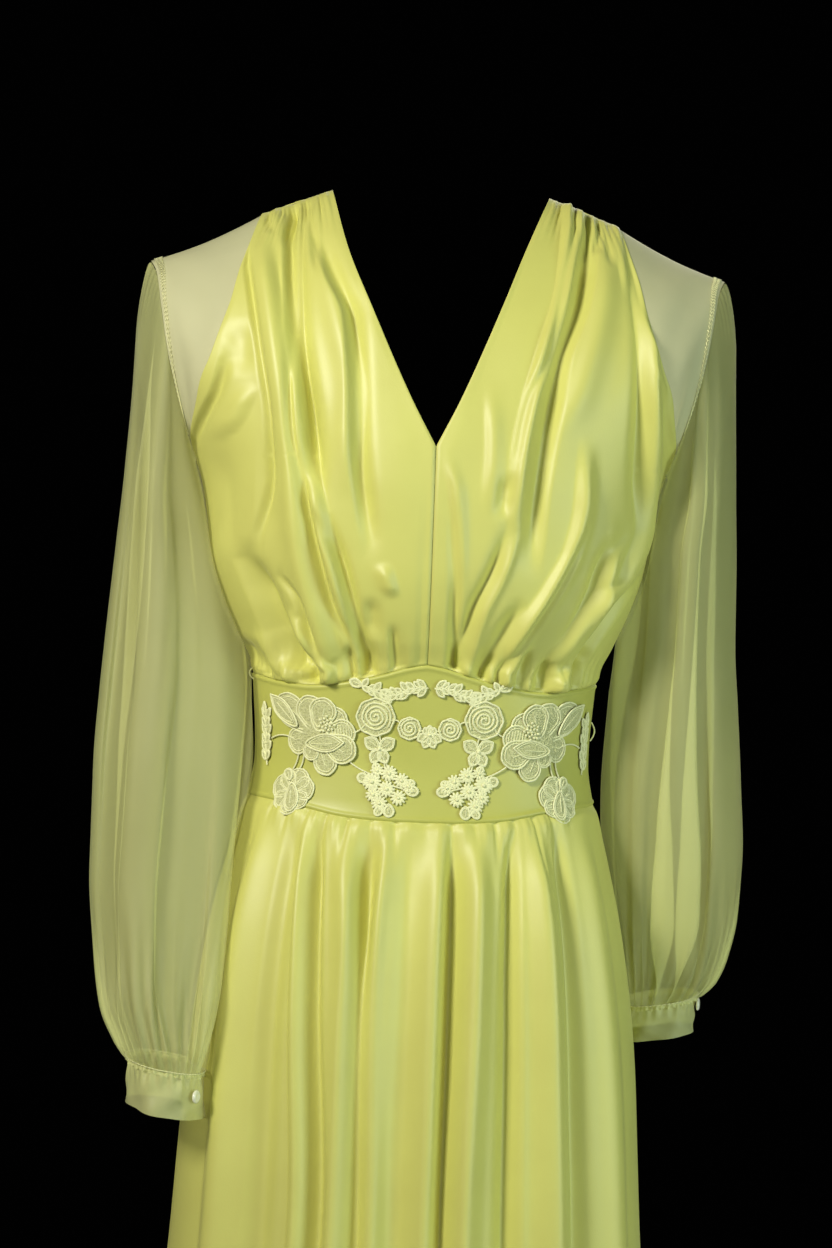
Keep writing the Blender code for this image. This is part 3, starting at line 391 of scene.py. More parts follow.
# The panel puffs out over the band: how far, and the heights where it is full and gone
BLOUSE, BLOUSE_FROM, BLOUSE_TO = 0.0013, 0.005, 0.042
# Folds die out over these shares of the panel's width at its two seams
CENTRE_HELD, SIDE_HELD = 0.035, 0.05
WRINKLE_DEPTH, FINE_WRINKLE_DEPTH = 0.0006, 0.0004


def gathers(rows, across):
    """Small gathers side by side along a seam."""
    total = np.zeros_like(across)
    for middle, width, depth in rows:
        apart = np.clip((across - middle) / width, -1.0, 1.0)
        total += depth * 0.5 * (1 + np.cos(np.pi * apart))
    return total


def slow_wrinkles(out, height, seed):
    """The slight unevenness that any hung cloth has, some 2 to 5 cm across."""
    a = np.sin(out * 61 + height * 23 + seed) * np.sin(height * 47 - out * 19 + 2 * seed)
    b = np.sin(out * 113 - height * 41 + 3 * seed) * np.sin(height * 29 + out * 37 + seed)
    return WRINKLE_DEPTH * a + FINE_WRINKLE_DEPTH * b


def bodice_panel(name, side, face, neck_rows, creases, rows, columns, seed):
    """One gathered panel, from the centre seam and neck edge to the side seam."""
    neck = curve_of(neck_rows)
    neck_low = neck_rows[-1][0]
    down = np.linspace(0.0, 1.0, rows + 1)[:, None] ** 1.10
    across = np.linspace(0.0, 1.0, columns + 1)[None, :]
    top = shoulder_height(blend(SHOULDER[0][0], SHOULDER[-1][0], across))
    low = band_top(seam_out(90 * (1 - across))) if face < 0 else np.full_like(across, BAND_BACK[0])
    height = blend(top, low + SEAM / 2, down)
    inside = np.where(height > neck_low, neck(height), 0.0)
    inner = degrees_at(np.maximum(inside, SEAM / 2), height)
    outer = np.where(height > UNDERARM, satin_edge(height), 0.0)
    degrees = blend(inner, outer, across)
    grid = figure_at(degrees, height, face, (top - height) / SHOULDER_ROUND)
    facing = facing_of(grid)
    out = grid[..., 0]
    rise = crease_depth(creases, out, height)
    rise = rise + slow_wrinkles(out, height, seed)
    from_top, from_low = top - height, height - low
    across = np.broadcast_to(across, height.shape)
    shoulder_share = 1 - ease(from_top / SHOULDER_GATHER_RUN)
    rise += gathers(SHOULDER_GATHERS, across) * SHOULDER_GATHER_DEPTH * shoulder_share
    rise += gathers(BAND_GATHERS, across) * BAND_GATHER_DEPTH * (1 - ease(from_low / BAND_GATHER_RUN))
    blouse = BLOUSE * ease(from_low / BLOUSE_FROM) * (1 - ease(from_low / BLOUSE_TO))
    rise += blouse * ease(across / 0.05)
    from_side = 1 - across
    held = ease((from_top + 0.0012) / 0.008) * ease((from_low + 0.001) / 0.004)
    held = held * ease(across / CENTRE_HELD) * ease(from_side / SIDE_HELD)
    grid += facing * (rise * held)[..., None]
    grid[..., 0] = np.maximum(grid[..., 0], SEAM / 2)
    at_side = (from_side < 1e-9) & (height < UNDERARM)
    grid[..., 1] = np.where(at_side, face * SEAM / 2, grid[..., 1])
    grid[0, :, 1] = face * SEAM / 2
    grid[..., 0] *= side
    return sheet_of_cloth(name, grid, satin, SATIN_THICKNESS)


for word, side in (("right", -1), ("left", 1)):
    creases = [
        (width * MM, rise * MM, lean, [(out * MM, height * MM) for out, height in line])
        for width, rise, lean, line in CREASES[word]
    ]
    front = bodice_panel(
        f"satin_front_{word}", side, -1, NECK[word], creases, FRONT_ROWS, FRONT_COLUMNS, side + 2.0,
    )
    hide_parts(f"bodice_front_{word}")
    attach(front, "root")


# Bodice backs
# The same satin behind, in two plainer panels with a V neck and a few drawn folds.
# The photograph doesn't show them, so they are finished simply.
# Neck edge behind: height, distance out
NECK_BACK = ((0.002, 0.0760), (-0.045, 0.0615), (-0.090, 0.0435), (-0.150, 0.0190), (-0.186, 0.0))
# As the front's creases, in metres
BACK_CREASES = (
    (0.0120, 0.0032, 0.15, ((0.1000, -0.0150), (0.0950, -0.0800), (0.0850, -0.1600), (0.0740, -0.2500))),
    (0.0110, -0.0034, -0.15, ((0.0920, -0.0150), (0.0820, -0.0900), (0.0720, -0.1700), (0.0600, -0.2600))),
    (0.0120, -0.0036, 0.20, ((0.0980, -0.1900), (0.0900, -0.2400), (0.0780, -0.2900), (0.0640, -0.3300))),
    (0.0110, 0.0034, -0.20, ((0.1180, -0.1950), (0.1120, -0.2450), (0.1020, -0.2900), (0.0920, -0.3300))),
    (0.0100, -0.0034, 0.00, ((0.1330, -0.2100), (0.1260, -0.2600), (0.1160, -0.3000), (0.1060, -0.3300))),
    (0.0110, 0.0032, 0.10, ((0.0560, -0.2100), (0.0520, -0.2600), (0.0440, -0.3000), (0.0380, -0.3320))),
    (0.0090, -0.0030, 0.00, ((0.0380, -0.2250), (0.0340, -0.2700), (0.0280, -0.3300))),
    (0.0090, -0.0024, 0.00, ((0.1170, -0.0250), (0.1240, -0.0800), (0.1280, -0.1300), (0.1240, -0.1800))),
)
BACK_ROWS, BACK_COLUMNS = 120, 64
for word, side in (("right", -1), ("left", 1)):
    back = bodice_panel(
        f"satin_back_{word}", side, 1, NECK_BACK, BACK_CREASES, BACK_ROWS, BACK_COLUMNS, side + 7.0,
    )
    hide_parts(f"bodice_back_{word}")
    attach(back, "root")


# Yokes
# Sheer chiffon over each shoulder, from the satin's outer edge to the armhole.
# It is pulled smooth, and reads paler than the sleeves.
# Armhole seam: degrees round from the top, distance out, depth in front, behind
ARMHOLE = (
    (0.0, 0.2012, 0.000, 0.000),
    (15.0, 0.1990, 0.011, 0.011),
    (30.0, 0.1953, 0.021, 0.020),
    (60.0, 0.1897, 0.041, 0.0375),
    (90.0, 0.1828, 0.0515, 0.0450),
    (120.0, 0.1733, 0.0455, 0.0370),
    (146.0, 0.1667, 0.0272, 0.0175),
    (165.0, 0.1645, 0.0140, 0.0095),
    (180.0, 0.1636, 0.000, 0.000),
)
ARMHOLE_TOP = -0.052
YOKE_END, YOKE_POINT = 143.0, 146.0
YOKE_BULGE, YOKE_SAG = 0.045, 0.0030
YOKE_FLAT, YOKE_TURN = 10.0, 40.0
YOKE_ROWS, YOKE_COLUMNS = 96, 26
armhole_out = curve_of(ARMHOLE, 1)
armhole_front = curve_of(ARMHOLE, 2)
armhole_back = curve_of(ARMHOLE, 3)
yoke_chiffon = dyed_cloth(
    "pale yoke chiffon", (0.800, 0.770, 0.450, 1.0), (0.720, 0.700, 0.390, 1.0),
    (0.55, 0.75), 0.45, 3400.0, 0.15, 0.68,
)


def armhole_at(degrees):
    """Places on the armhole seam at x >= 0; past 180 degrees they are behind."""
    turn = np.mod(degrees, 360.0)
    behind = turn > 180
    turn = np.where(behind, 360 - turn, turn)
    height = blend(UNDERARM, ARMHOLE_TOP, 0.5 + 0.5 * np.cos(np.radians(turn)))
    depth = np.where(behind, armhole_back(turn), -armhole_front(turn))
    return np.stack((armhole_out(turn), depth, height), axis=-1)


def yoke_form(turn, across):
    """Places on the yoke: degrees round the armhole, share of the way out to it."""
    shoulder, point = SHOULDER[-1][1], SATIN_EDGE[-3][0]
    height = blend(shoulder, point, np.abs(turn) / YOKE_POINT)
    below = (shoulder - height) / SHOULDER_ROUND
    front = figure_at(satin_edge(height), height, -1, below)
    behind = figure_at(satin_edge(height), height, 1, below)
    inner = np.where((turn > 0)[:, None], front, behind)
    outer = armhole_at(turn)
    reach = outer - inner
    width = np.linalg.norm(reach, axis=1)
    away = unit(np.cross(reach, (0.0, 0.0, 1.0)))
    inward = np.sum(away[:, :2] * inner[:, :2], axis=1) < 0
    away[inward] *= -1
    arch = 4 * across * (1 - across)
    bulge = YOKE_BULGE * width * ease((np.abs(turn) - YOKE_FLAT) / YOKE_TURN)
    sag = YOKE_SAG * (1 - ease(np.abs(turn) / YOKE_TURN))
    ripple = 0.0006 * np.sin(across * 9 + turn[:, None] * 0.11) * arch
    grid = inner[:, None, :] + reach[:, None, :] * across[None, :, None]
    grid = grid + away[:, None, :] * (bulge[:, None] * arch + ripple)[..., None]
    grid[..., 2] -= sag[:, None] * arch
    return grid


def yoke(name, side):
    grid = yoke_form(np.linspace(YOKE_END, -YOKE_END, YOKE_ROWS + 1), np.linspace(0.0, 1.0, YOKE_COLUMNS + 1))
    grid[..., 0] *= side
    return sheet_of_cloth(name, grid, yoke_chiffon)


for word, side in (("right", -1), ("left", 1)):
    over = yoke(f"chiffon_yoke_{word}", side)
    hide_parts(f"yoke_{word}")
    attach(over, "root")


# Sleeves
# Full bishop sleeves of one layer of chiffon, set into the armholes. They fall in
# long soft folds that double over each other, and are gathered into the cuffs.
# Hanging part: height, inner and outer distance out, front and back edge
SLEEVE = {
    "right": (
        (-0.083, 0.1500, 0.2088, -0.052, 0.062),
        (-0.139, 0.1500, 0.2092, -0.052, 0.062),
        (-0.200, 0.1500, 0.2115, -0.052, 0.062),
        (-0.250, 0.1370, 0.2155, -0.054, 0.068),
        (-0.307, 0.1230, 0.2195, -0.064, 0.062),
        (-0.350, 0.1180, 0.2220, -0.074, 0.052),
        (-0.400, 0.1195, 0.2240, -0.086, 0.040),
        (-0.471, 0.1245, 0.2240, -0.096, 0.024),
        (-0.524, 0.1285, 0.2185, -0.108, 0.008),
        (-0.564, 0.1330, 0.2110, -0.116, -0.010),
        (-0.586, 0.1375, 0.2000, -0.116, -0.024),
        (-0.600, 0.1415, 0.1910, -0.111, -0.038),
    ),
    "left": (
        (-0.083, 0.1500, 0.2098, -0.048, 0.064),
        (-0.139, 0.1500, 0.2100, -0.048, 0.064),
        (-0.200, 0.1500, 0.2108, -0.048, 0.064),
        (-0.250, 0.1400, 0.2130, -0.044, 0.072),
        (-0.307, 0.1385, 0.2140, -0.040, 0.076),
        (-0.350, 0.1340, 0.2175, -0.038, 0.080),
        (-0.406, 0.1310, 0.2225, -0.034, 0.086),
        (-0.460, 0.1345, 0.2270, -0.026, 0.094),
        (-0.500, 0.1400, 0.2265, -0.016, 0.100),
        (-0.530, 0.1440, 0.2225, -0.004, 0.100),
        (-0.548, 0.1480, 0.2160, 0.006, 0.096),
        (-0.562, 0.1520, 0.2030, 0.014, 0.088),
    ),
}
SLEEVE_CLEARANCE = 0.0030
SLEEVE_SQUARENESS = 2.2
SLEEVE_JOIN, SLEEVE_JOIN_OUTER, OUTER_TURNS = 0.18, 0.08, 60.0
UNDERARM_START, UNDERARM_BLEND = 110.0, 36.0
UNDERARM_OUT, YOKE_EDGE_DROP = 0.0022, 0.0011
CUFF_TILT = 0.005
LONG_FOLDS, CUFF_GATHERS = {"right": 6, "left": 5}, 30
FOLD_DEPTH, FOLD_OVERLAP = 0.0095, 1.30
GATHER_DEPTH, GATHER_RUN = 0.0018, 0.24
SLEEVE_ROWS, SLEEVE_COLUMNS = 120, 340
chiffon = dyed_cloth(
    "lemon chiffon", (0.860, 0.865, 0.370, 1.0), (0.780, 0.790, 0.310, 1.0),
    (0.50, 0.72), 0.50, 3400.0, 0.15, 0.35,
)


def sleeve_ring(table, height, turn):
    """Places on the hanging part of a sleeve, before it is folded."""
    inner, outer, front, back = (curve_of(table, column)(height) for column in (1, 2, 3, 4))
    angle = np.radians(turn)
    power = 2 / SLEEVE_SQUARENESS
    c, s = np.cos(angle), np.sin(angle)
    x = (inner + outer) / 2 + (outer - inner) / 2 * np.sign(c) * np.abs(c) ** power
    y = (front + back) / 2 - (back - front) / 2 * np.sign(s) * np.abs(s) ** power
    return np.stack(np.broadcast_arrays(x, y, height), axis=-1)


def clear_of_dress(grid, clearance):
    """Keeps sleeve cloth outside the dress's body."""
    x, y, z = grid[..., 0], grid[..., 1], grid[..., 2]
    deep = np.where(y < 0, front_depth(z), back_depth(z)) + clearance
    share = (np.abs(x / (half_width(z) + clearance)) ** SQUARENESS + np.abs(y / deep) ** SQUARENESS)
    share = share ** (1 / SQUARENESS)
    inside = (share < 1) & (z < UNDERARM)
    grow = np.where(inside, 1 / np.maximum(share, 1e-6), 1.0)
    grid[..., 0] *= grow
    grid[..., 1] *= grow
    return grid


def sleeve(name, side, table, folds, seed):
    bottom = table[-1][0]
    down = np.linspace(0.0, 1.0, SLEEVE_ROWS + 1)[:, None]
    turn = np.linspace(0.0, 360.0, SLEEVE_COLUMNS, endpoint=False)[None, :]
    round_from_top = np.abs(np.abs(turn - 180) - 180)
    under = ease((round_from_top - UNDERARM_START) / UNDERARM_BLEND)
    seam = armhole_at(turn)
    seam[..., 0] += UNDERARM_OUT * under
    seam[..., 2] -= YOKE_EDGE_DROP * (1 - under)
    tilt = CUFF_TILT * np.cos(np.radians(turn))
    height = blend(seam[..., 2], bottom + tilt + SEAM, down)
    join = ease(down / blend(SLEEVE_JOIN_OUTER, SLEEVE_JOIN, ease(round_from_top / OUTER_TURNS)))

    def smooth(turns):
        ring = sleeve_ring(table, np.minimum(height, table[0][0]), turns)
        ring[..., 2] = height
        return blend(seam, ring, join[..., None])

    base = smooth(turn)
    beyond = np.roll(base, -1, axis=1)
    before = np.roll(base, 1, axis=1)
    along = beyond - before
    along[..., 2] = 0.0
    pace = np.linalg.norm(along, axis=2, keepdims=True)
    perimeter = pace.sum(axis=1, keepdims=True) / 2
    along /= np.maximum(pace, 1e-9)
    away = np.stack((along[..., 1], -along[..., 0], np.zeros_like(along[..., 0])), axis=-1)
    centre = base.mean(axis=1, keepdims=True)
    outward = np.sum(away * (base - centre), axis=2, keepdims=True) >= 0
    away = np.where(outward, away, -away)
    angle = np.radians(turn)
    drift = 1.5 * down * down + 0.45 * np.sin(3.1 * down + seed)
    phase = folds * angle + 1.2 * np.sin(2 * angle + seed) + 1.1 * np.sin(3 * angle + 2.3 * seed)
    phase = phase + drift * np.sin(angle + seed)
    vary = 0.50 + 0.50 * np.sin(2 * angle + 1.7 * seed + 2.2 * down) * np.sin(3 * angle - seed - 3.4 * down)
    full = ease((down + 0.02) / 0.30) * (1 - 0.80 * ease((down - 0.86) / 0.14))
    full = full * blend(0.55, 1.0, ease((1 - np.cos(angle)) / 1.2))
    spacing = perimeter[..., 0] / (2 * np.pi * folds)
    lift = FOLD_DEPTH * vary * full * np.sin(phase)
    shift = -FOLD_OVERLAP * spacing * vary * vary * full * np.sin(2 * phase)
    tight = ease((down - 1 + GATHER_RUN) / GATHER_RUN)
    small = CUFF_GATHERS * angle + 0.8 * np.sin(5 * angle + seed) + 0.6 * np.sin(3 * angle)
    lift = lift + GATHER_DEPTH * tight * (1 - 0.6 * ease((down - 0.985) / 0.015)) * np.sin(small)
    puckers = (1 - ease(down / 0.10)) * ease(down / 0.01)
    head = ease(1 - turn / 70) + ease(1 - np.abs(turn - 360) / 70)
    lift = lift + 0.0007 * puckers * head * np.sin(46 * angle + seed)
    grid = base + away * lift[..., None] + along * shift[..., None]
    grid[1:] = clear_of_dress(grid[1:], SLEEVE_CLEARANCE)
    grid[..., 0] *= side
    return sheet_of_cloth(name, grid, chiffon, wraps=True)


for word, side in (("right", -1), ("left", 1)):
    hung = sleeve(f"chiffon_sleeve_{word}", side, SLEEVE[word], LONG_FOLDS[word], side + 2.4)
    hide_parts(f"sleeve_{word}")
    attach(hung, "root")


# Cuffs and their buttons
# Real ones are straight bands of doubled chiffon, gathered on, lapped and closed by
# a small button, pearl on the left and clear on the right. Here each cuff is a closed
# ring without its lap, and both buttons are pearl and larger than the real ones.
# Each cuff: depth, the button's degrees round and its distance below the seam
CUFF = {"right": (0.030, 143.0, 0.014), "left": (0.024, 18.0, 0.006)}
CUFF_FLARE = 0.03
CUFF_FACE = 0.00065
BUTTON_RADIUS, BUTTON_THICKNESS, BUTTON_LIFT = 0.0045, 0.0028, 0.0009
cuff_chiffon = dyed_cloth(
    "doubled chiffon", (0.850, 0.860, 0.380, 1.0), (0.770, 0.780, 0.310, 1.0),
    (0.45, 0.70), 0.50, 3400.0, 0.3, 0.58,
)


def cuff_seam(table, turn):
    place = sleeve_ring(table, np.full_like(turn, table[-1][0]), turn)
    place[..., 2] += CUFF_TILT * np.cos(np.radians(turn)) - SEAM / 2
    return place


def cuff(name, side, table, depth, seed):
    rows, columns = 22, 220
    turn = np.linspace(0.0, 360.0, columns, endpoint=False)
    top = cuff_seam(table, turn)
    centre = (cuff_seam(table, np.array([0.0])) + cuff_seam(table, np.array([180.0])))[0] / 2
    down = np.linspace(0.0, 1.0, rows + 1)[:, None]
    angle = np.radians(turn)[None, :]
    crumple = 0.0011 * np.sin(7 * angle + 3 * down + seed) * np.sin(5 * down * 1.3 + seed)
    crumple = crumple + 0.0009 * np.sin(24 * angle + seed) * (1 - ease(down / 0.55))
    hem_wave = 0.0016 * np.sin(4 * angle + seed) * down
    out = top - centre
    out[:, 2] = 0.0
    away = unit(out)
    grid = top[None] + out[None] * (CUFF_FLARE * down)[..., None]
    grid = grid + away[None] * (crumple * ease(down / 0.1) + hem_wave)[..., None]
    grid[..., 2] -= depth * down
    grid = clear_of_dress(grid, SLEEVE_CLEARANCE)
    grid[..., 0] *= side
    return sheet_of_cloth(name, grid, cuff_chiffon, wraps=True)


def mottled(name, scale, tone, other):
    """A material that drifts between two tones, with its shader and its noise."""
    made = bpy.data.materials.new(name)
    made.use_nodes = True
    nodes = made.node_tree.nodes
    shader = nodes["Principled BSDF"]
    noise, tones = nodes.new("ShaderNodeTexNoise"), nodes.new("ShaderNodeMix")
    tones.data_type = "RGBA"
    set_values(((noise, "Scale", scale), (tones, "A", tone), (tones, "B", other)))
    wire(made.node_tree.links, ((noise, "Fac", tones, "Factor"), (tones, "Result", shader, "Base Color")))
    return made, shader, noise


pearl, pearl_shader, pearl_bands = mottled(
    "pearl button", 320.0, (0.80, 0.80, 0.52, 1.0), (0.93, 0.92, 0.76, 1.0),
)
pearl_gloss = pearl.node_tree.nodes.new("ShaderNodeMapRange")
set_values((
    (pearl_shader, "Coat Weight", 0.6), (pearl_shader, "Coat Roughness", 0.08),
    (pearl_gloss, "To Min", 0.16), (pearl_gloss, "To Max", 0.32),
))
wire(pearl.node_tree.links, (
    (pearl_bands, "Fac", pearl_gloss, "Value"), (pearl_gloss, "Result", pearl_shader, "Roughness"),
))
# The button turned: share of the radius, share of the thickness
BUTTON_PROFILE = (
    (0.0, 0.0), (0.80, 0.0), (0.95, 0.12), (1.0, 0.30), (0.98, 0.46), (0.92, 0.62),
    (0.80, 0.76), (0.62, 0.84), (0.50, 0.80), (0.30, 0.74), (0.0, 0.72),
)


def cuff_button(name, side, table, turn, below):
    """A small domed button with a dished middle, on the cuff."""
    spot, ahead, behind = cuff_seam(table, np.array([turn, turn + 8.0, turn - 8.0]))
    centre = cuff_seam(table, np.array([0.0, 180.0])).mean(axis=0)
    beside = ahead - behind
    away = Vector((beside[1], -beside[0], 0.0)).normalized()
    if away.dot(Vector(spot - centre)) < 0:
        away = -away
    place = Vector(spot) + away * (CUFF_FACE + BUTTON_LIFT)
    place.z -= below
    if side < 0:
        place.x, away.x = -place.x, -away.x
    mesh = bmesh.new()
    profile = [mesh.verts.new((BUTTON_RADIUS * r, 0.0, BUTTON_THICKNESS * h)) for r, h in BUTTON_PROFILE]
    edges = [mesh.edges.new(pair) for pair in zip(profile, profile[1:])]
    bmesh.ops.spin(
        mesh, geom=profile + edges, cent=(0, 0, 0), axis=(0, 0, 1), angle=math.tau, steps=32, use_merge=True,
    )
    bmesh.ops.remove_doubles(mesh, verts=mesh.verts, dist=1e-6)
    bmesh.ops.recalc_face_normals(mesh, faces=mesh.faces)
    turned = away.to_track_quat("Z", "Y").to_matrix().to_4x4()
    turned.translation = place
    bmesh.ops.transform(mesh, matrix=turned, verts=mesh.verts)
    data = bpy.data.meshes.new(name)
    mesh.to_mesh(data)
    mesh.free()
    data.shade_smooth()
    data.materials.append(pearl)
    return placed(name, data)


for word, side in (("right", -1), ("left", 1)):
    depth, button_turn, button_below = CUFF[word]
    wrist = cuff(f"chiffon_cuff_{word}", side, SLEEVE[word], depth, side + 3.0)
    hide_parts(f"cuff_{word}")
    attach(wrist, "root")
    button = cuff_button(f"button_{word}", side, SLEEVE[word], button_turn, button_below)
    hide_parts(f"cuff_button_{word}")
    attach(button, "root")


# Waist band
# A shaped band of the same satin over a firm lining, rising to a soft point in
# front. Its edges are turned in, and it is seamed at the sides.
BAND_ROLL, BAND_THICKNESS = 0.0009, 0.0011
band_satin = dyed_cloth(
    "backed satin", (0.560, 0.560, 0.130, 1.0), (0.500, 0.505, 0.100, 1.0), (0.38, 0.58), 0.15, 2600.0, 0.22,
)


def panel_turns(columns, front, side):
    """Degrees round a panel, degrees from its nearer side seam, and its sides' signs."""
    turn = blend(180.0 if front else 90.0, 0.0, np.linspace(0.0, 1.0, columns + 1)[None, :])
    degrees = np.where(turn <= 90, turn, 180 - turn)
    return turn, degrees, np.where(turn <= 90, 1.0, -1.0) if front else np.full_like(turn, side)


def end_at_sides(grid, degrees, front):
    """Ends a panel half a seam short of the side seams' line."""
    at_side = np.broadcast_to(degrees < 0.01, grid.shape[:2])
    grid[..., 1] = np.where(at_side, (-1 if front else 1) * SEAM / 2, grid[..., 1])


def waist_band(name, side, front):
    rows, columns = 44, (170 if front else 85)
    down = np.linspace(0.0, 1.0, rows + 1)[:, None]
    down = 0.5 - 0.5 * np.cos(np.pi * down)
    _, degrees, sign = panel_turns(columns, front, side)
    out = seam_out(degrees)
    if front:
        top, low = band_top(out), band_bottom(out)
    else:
        top, low = (np.full_like(out, edge) for edge in BAND_BACK)
    height = blend(top - SEAM / 2, low + SEAM / 2, down)
    grid = figure_at(np.broadcast_to(degrees, height.shape), height, -1 if front else 1)
    grid[..., 0] = np.maximum(grid[..., 0], 0.0 if front else SEAM / 2) * sign
    facing = facing_of(grid)
    edge = np.minimum(top - height, height - low)
    roll = BAND_ROLL * np.exp(-((edge - 0.0016) / 0.0011) ** 2) - 0.0006 * ease(1 - edge / 0.0012)
    drag = 0.0004 * np.sin(height * 95 + 26 * grid[..., 0]) * np.sin(grid[..., 0] * 52 + 1.0)
    held = ease(degrees / 4.0)
    grid += facing * ((roll + drag) * held)[..., None]
    end_at_sides(grid, degrees, front)
    return sheet_of_cloth(name, grid, band_satin, BAND_THICKNESS)


band = waist_band("waist_band_front", 1, True)
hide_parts("band_front")
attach(band, "root")
for word, side in (("right", -1), ("left", 1)):
    band = waist_band(f"waist_band_back_{word}", side, False)
    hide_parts(f"band_back_{word}")
    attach(band, "root")


# Skirt
# A long, gently flared front panel and two back panels of satin, gathered into
# the waist band. Big soft folds fall from the gathers and open towards the hem.
HEM = -1.420
# Folds: degrees round from the side seam at heights -.45, -.55, -.705 and the hem,
# half width in degrees at the band and the hem, rise at the band and the hem, lean
FRONT_FOLDS = (
    (142, 140, 137, 138, 9, 12, 0.0045, 0.0145, 0.2),
    (128, 126, 124, 126, 5, 8, -0.0040, -0.0095, 0.0),
    (123, 117, 112, 116, 3, 5, 0.0055, 0.0070, 0.3),
    (119, 113, 108, 112, 3, 5, -0.0080, -0.0085, 0.0),
    (111, 105, 104, 106, 6, 8, 0.0090, 0.0155, -0.3),
    (102, 101, 100, 99, 4, 6, -0.0100, -0.0145, 0.0),
    (96, 98, 96, 93, 3, 5, 0.0060, 0.0095, 0.2),
    (92, 92, 92, 90, 3, 5, -0.0035, -0.0070, 0.0),
    (87, 88, 88, 86, 3, 5, 0.0060, 0.0110, -0.1),
    (83, 84, 85, 81, 3, 5, -0.0090, -0.0095, 0.0),
    (75, 77, 79, 74, 6, 7, 0.0100, 0.0155, 0.4),
    (66, 70, 71, 66, 4, 6, -0.0105, -0.0130, -0.2),
    (57, 58, 58, 56, 6, 9, 0.0085, 0.0155, 0.1),
    (46, 47, 47, 45, 5, 8, -0.0075, -0.0110, 0.3),
    (33, 34, 34, 32, 9, 11, 0.0035, 0.0130, 0.0),
)
BACK_FOLDS = (
    (80.0, 80.0, 80.0, 79.0, 4.5, 7.0, 0.0059, 0.0132, 0.1),
    (73.0, 73.0, 72.5, 72.0, 4.0, 7.0, -0.0071, -0.0108, 0.0),
    (64.0, 64.0, 64.0, 63.0, 5.0, 9.0, 0.0067, 0.0156, -0.2),
    (54.0, 54.0, 53.0, 53.0, 4.5, 8.0, -0.0071, -0.0108, 0.0),
    (44.0, 43.0, 42.0, 41.0, 5.0, 9.0, 0.0061, 0.0144, 0.2),
    (34.0, 33.0, 31.0, 30.0, 4.5, 8.0, -0.0050, -0.0096, 0.0),
    (25.0, 23.0, 21.0, 20.0, 5.0, 8.0, 0.0029, 0.0096, 0.0),
)
# Puckers right under the band: degrees round, half width, depth, run down
FRONT_PUCKERS = (
    (142.0, 2.0, -1.3, 0.020), (137.5, 2.2, 1.0, 0.020), (133.5, 1.9, -1.5, 0.026), (129.0, 2.0, 1.0, 0.022),
    (124.5, 1.8, -1.3, 0.020), (120.5, 1.6, 1.0, 0.018), (117.0, 1.8, -1.6, 0.030), (113.5, 1.7, 1.1, 0.022),
    (109.5, 1.9, -2.1, 0.040), (105.5, 1.7, 1.0, 0.020), (102.3, 1.6, -1.4, 0.024), (98.8, 1.6, 1.1, 0.020),
    (95.6, 1.8, -2.1, 0.040), (92.2, 1.5, 0.9, 0.018), (89.6, 1.5, -1.2, 0.020), (86.6, 1.6, 1.1, 0.022),
    (83.6, 1.8, -2.0, 0.040), (80.4, 1.6, 1.1, 0.020), (77.4, 1.6, -1.3, 0.024), (74.2, 1.6, 1.1, 0.022),
    (70.8, 1.8, -2.0, 0.040), (67.2, 1.6, 1.1, 0.020), (64.2, 1.6, -1.3, 0.022), (60.4, 1.7, 1.1, 0.026),
    (56.6, 1.4, -1.6, 0.075), (52.6, 1.8, 0.9, 0.022), (48.6, 1.8, -1.1, 0.020), (44.0, 2.0, 0.8, 0.018),
    (40.0, 2.0, -0.8, 0.016),
)
BACK_PUCKERS = tuple(
    (84.0 - 4.1 * k, 1.9, (-1.0, 0.8, -1.5, 1.0)[k % 4], (0.022, 0.018, 0.032, 0.024)[k % 4])
    for k in range(15)
)
PUCKER_DEPTH = 0.0011


def skirt_drape(folds, puckers, turn, height, top):
    """The skirt's folds and the puckers under its gathered seam."""
    total = np.zeros_like(height)
    below = top - height
    for at_band, at_hip, at_thigh, at_hem, width, hem_width, rise, hem_rise, lean in folds:
        course = curve_of(((-0.43, at_band), (-0.548, at_hip), (-0.705, at_thigh), (HEM, at_hem)))
        share = np.clip((height + 0.44) / (HEM + 0.44), 0.0, 1.0)
        apart = np.clip((turn - course(height)) / blend(width, hem_width, share ** 0.7), -1.0, 1.0)
        apart = apart - lean * (1 - apart * apart)
        total += blend(rise, hem_rise, share ** 0.8) * 0.5 * (1 + np.cos(np.pi * apart))
    total = total * ease(below / 0.050) ** 0.8
    for middle, width, depth, run in puckers:
        apart = np.clip((turn - middle) / width, -1.0, 1.0)
        small = depth * PUCKER_DEPTH * 0.5 * (1 + np.cos(np.pi * apart))
        total += small * ease((below + 0.001) / 0.003) * (1 - ease(below / run))
    puff = 0.0016 * ease(below / 0.006) * (1 - ease(below / 0.030))
    return total + puff


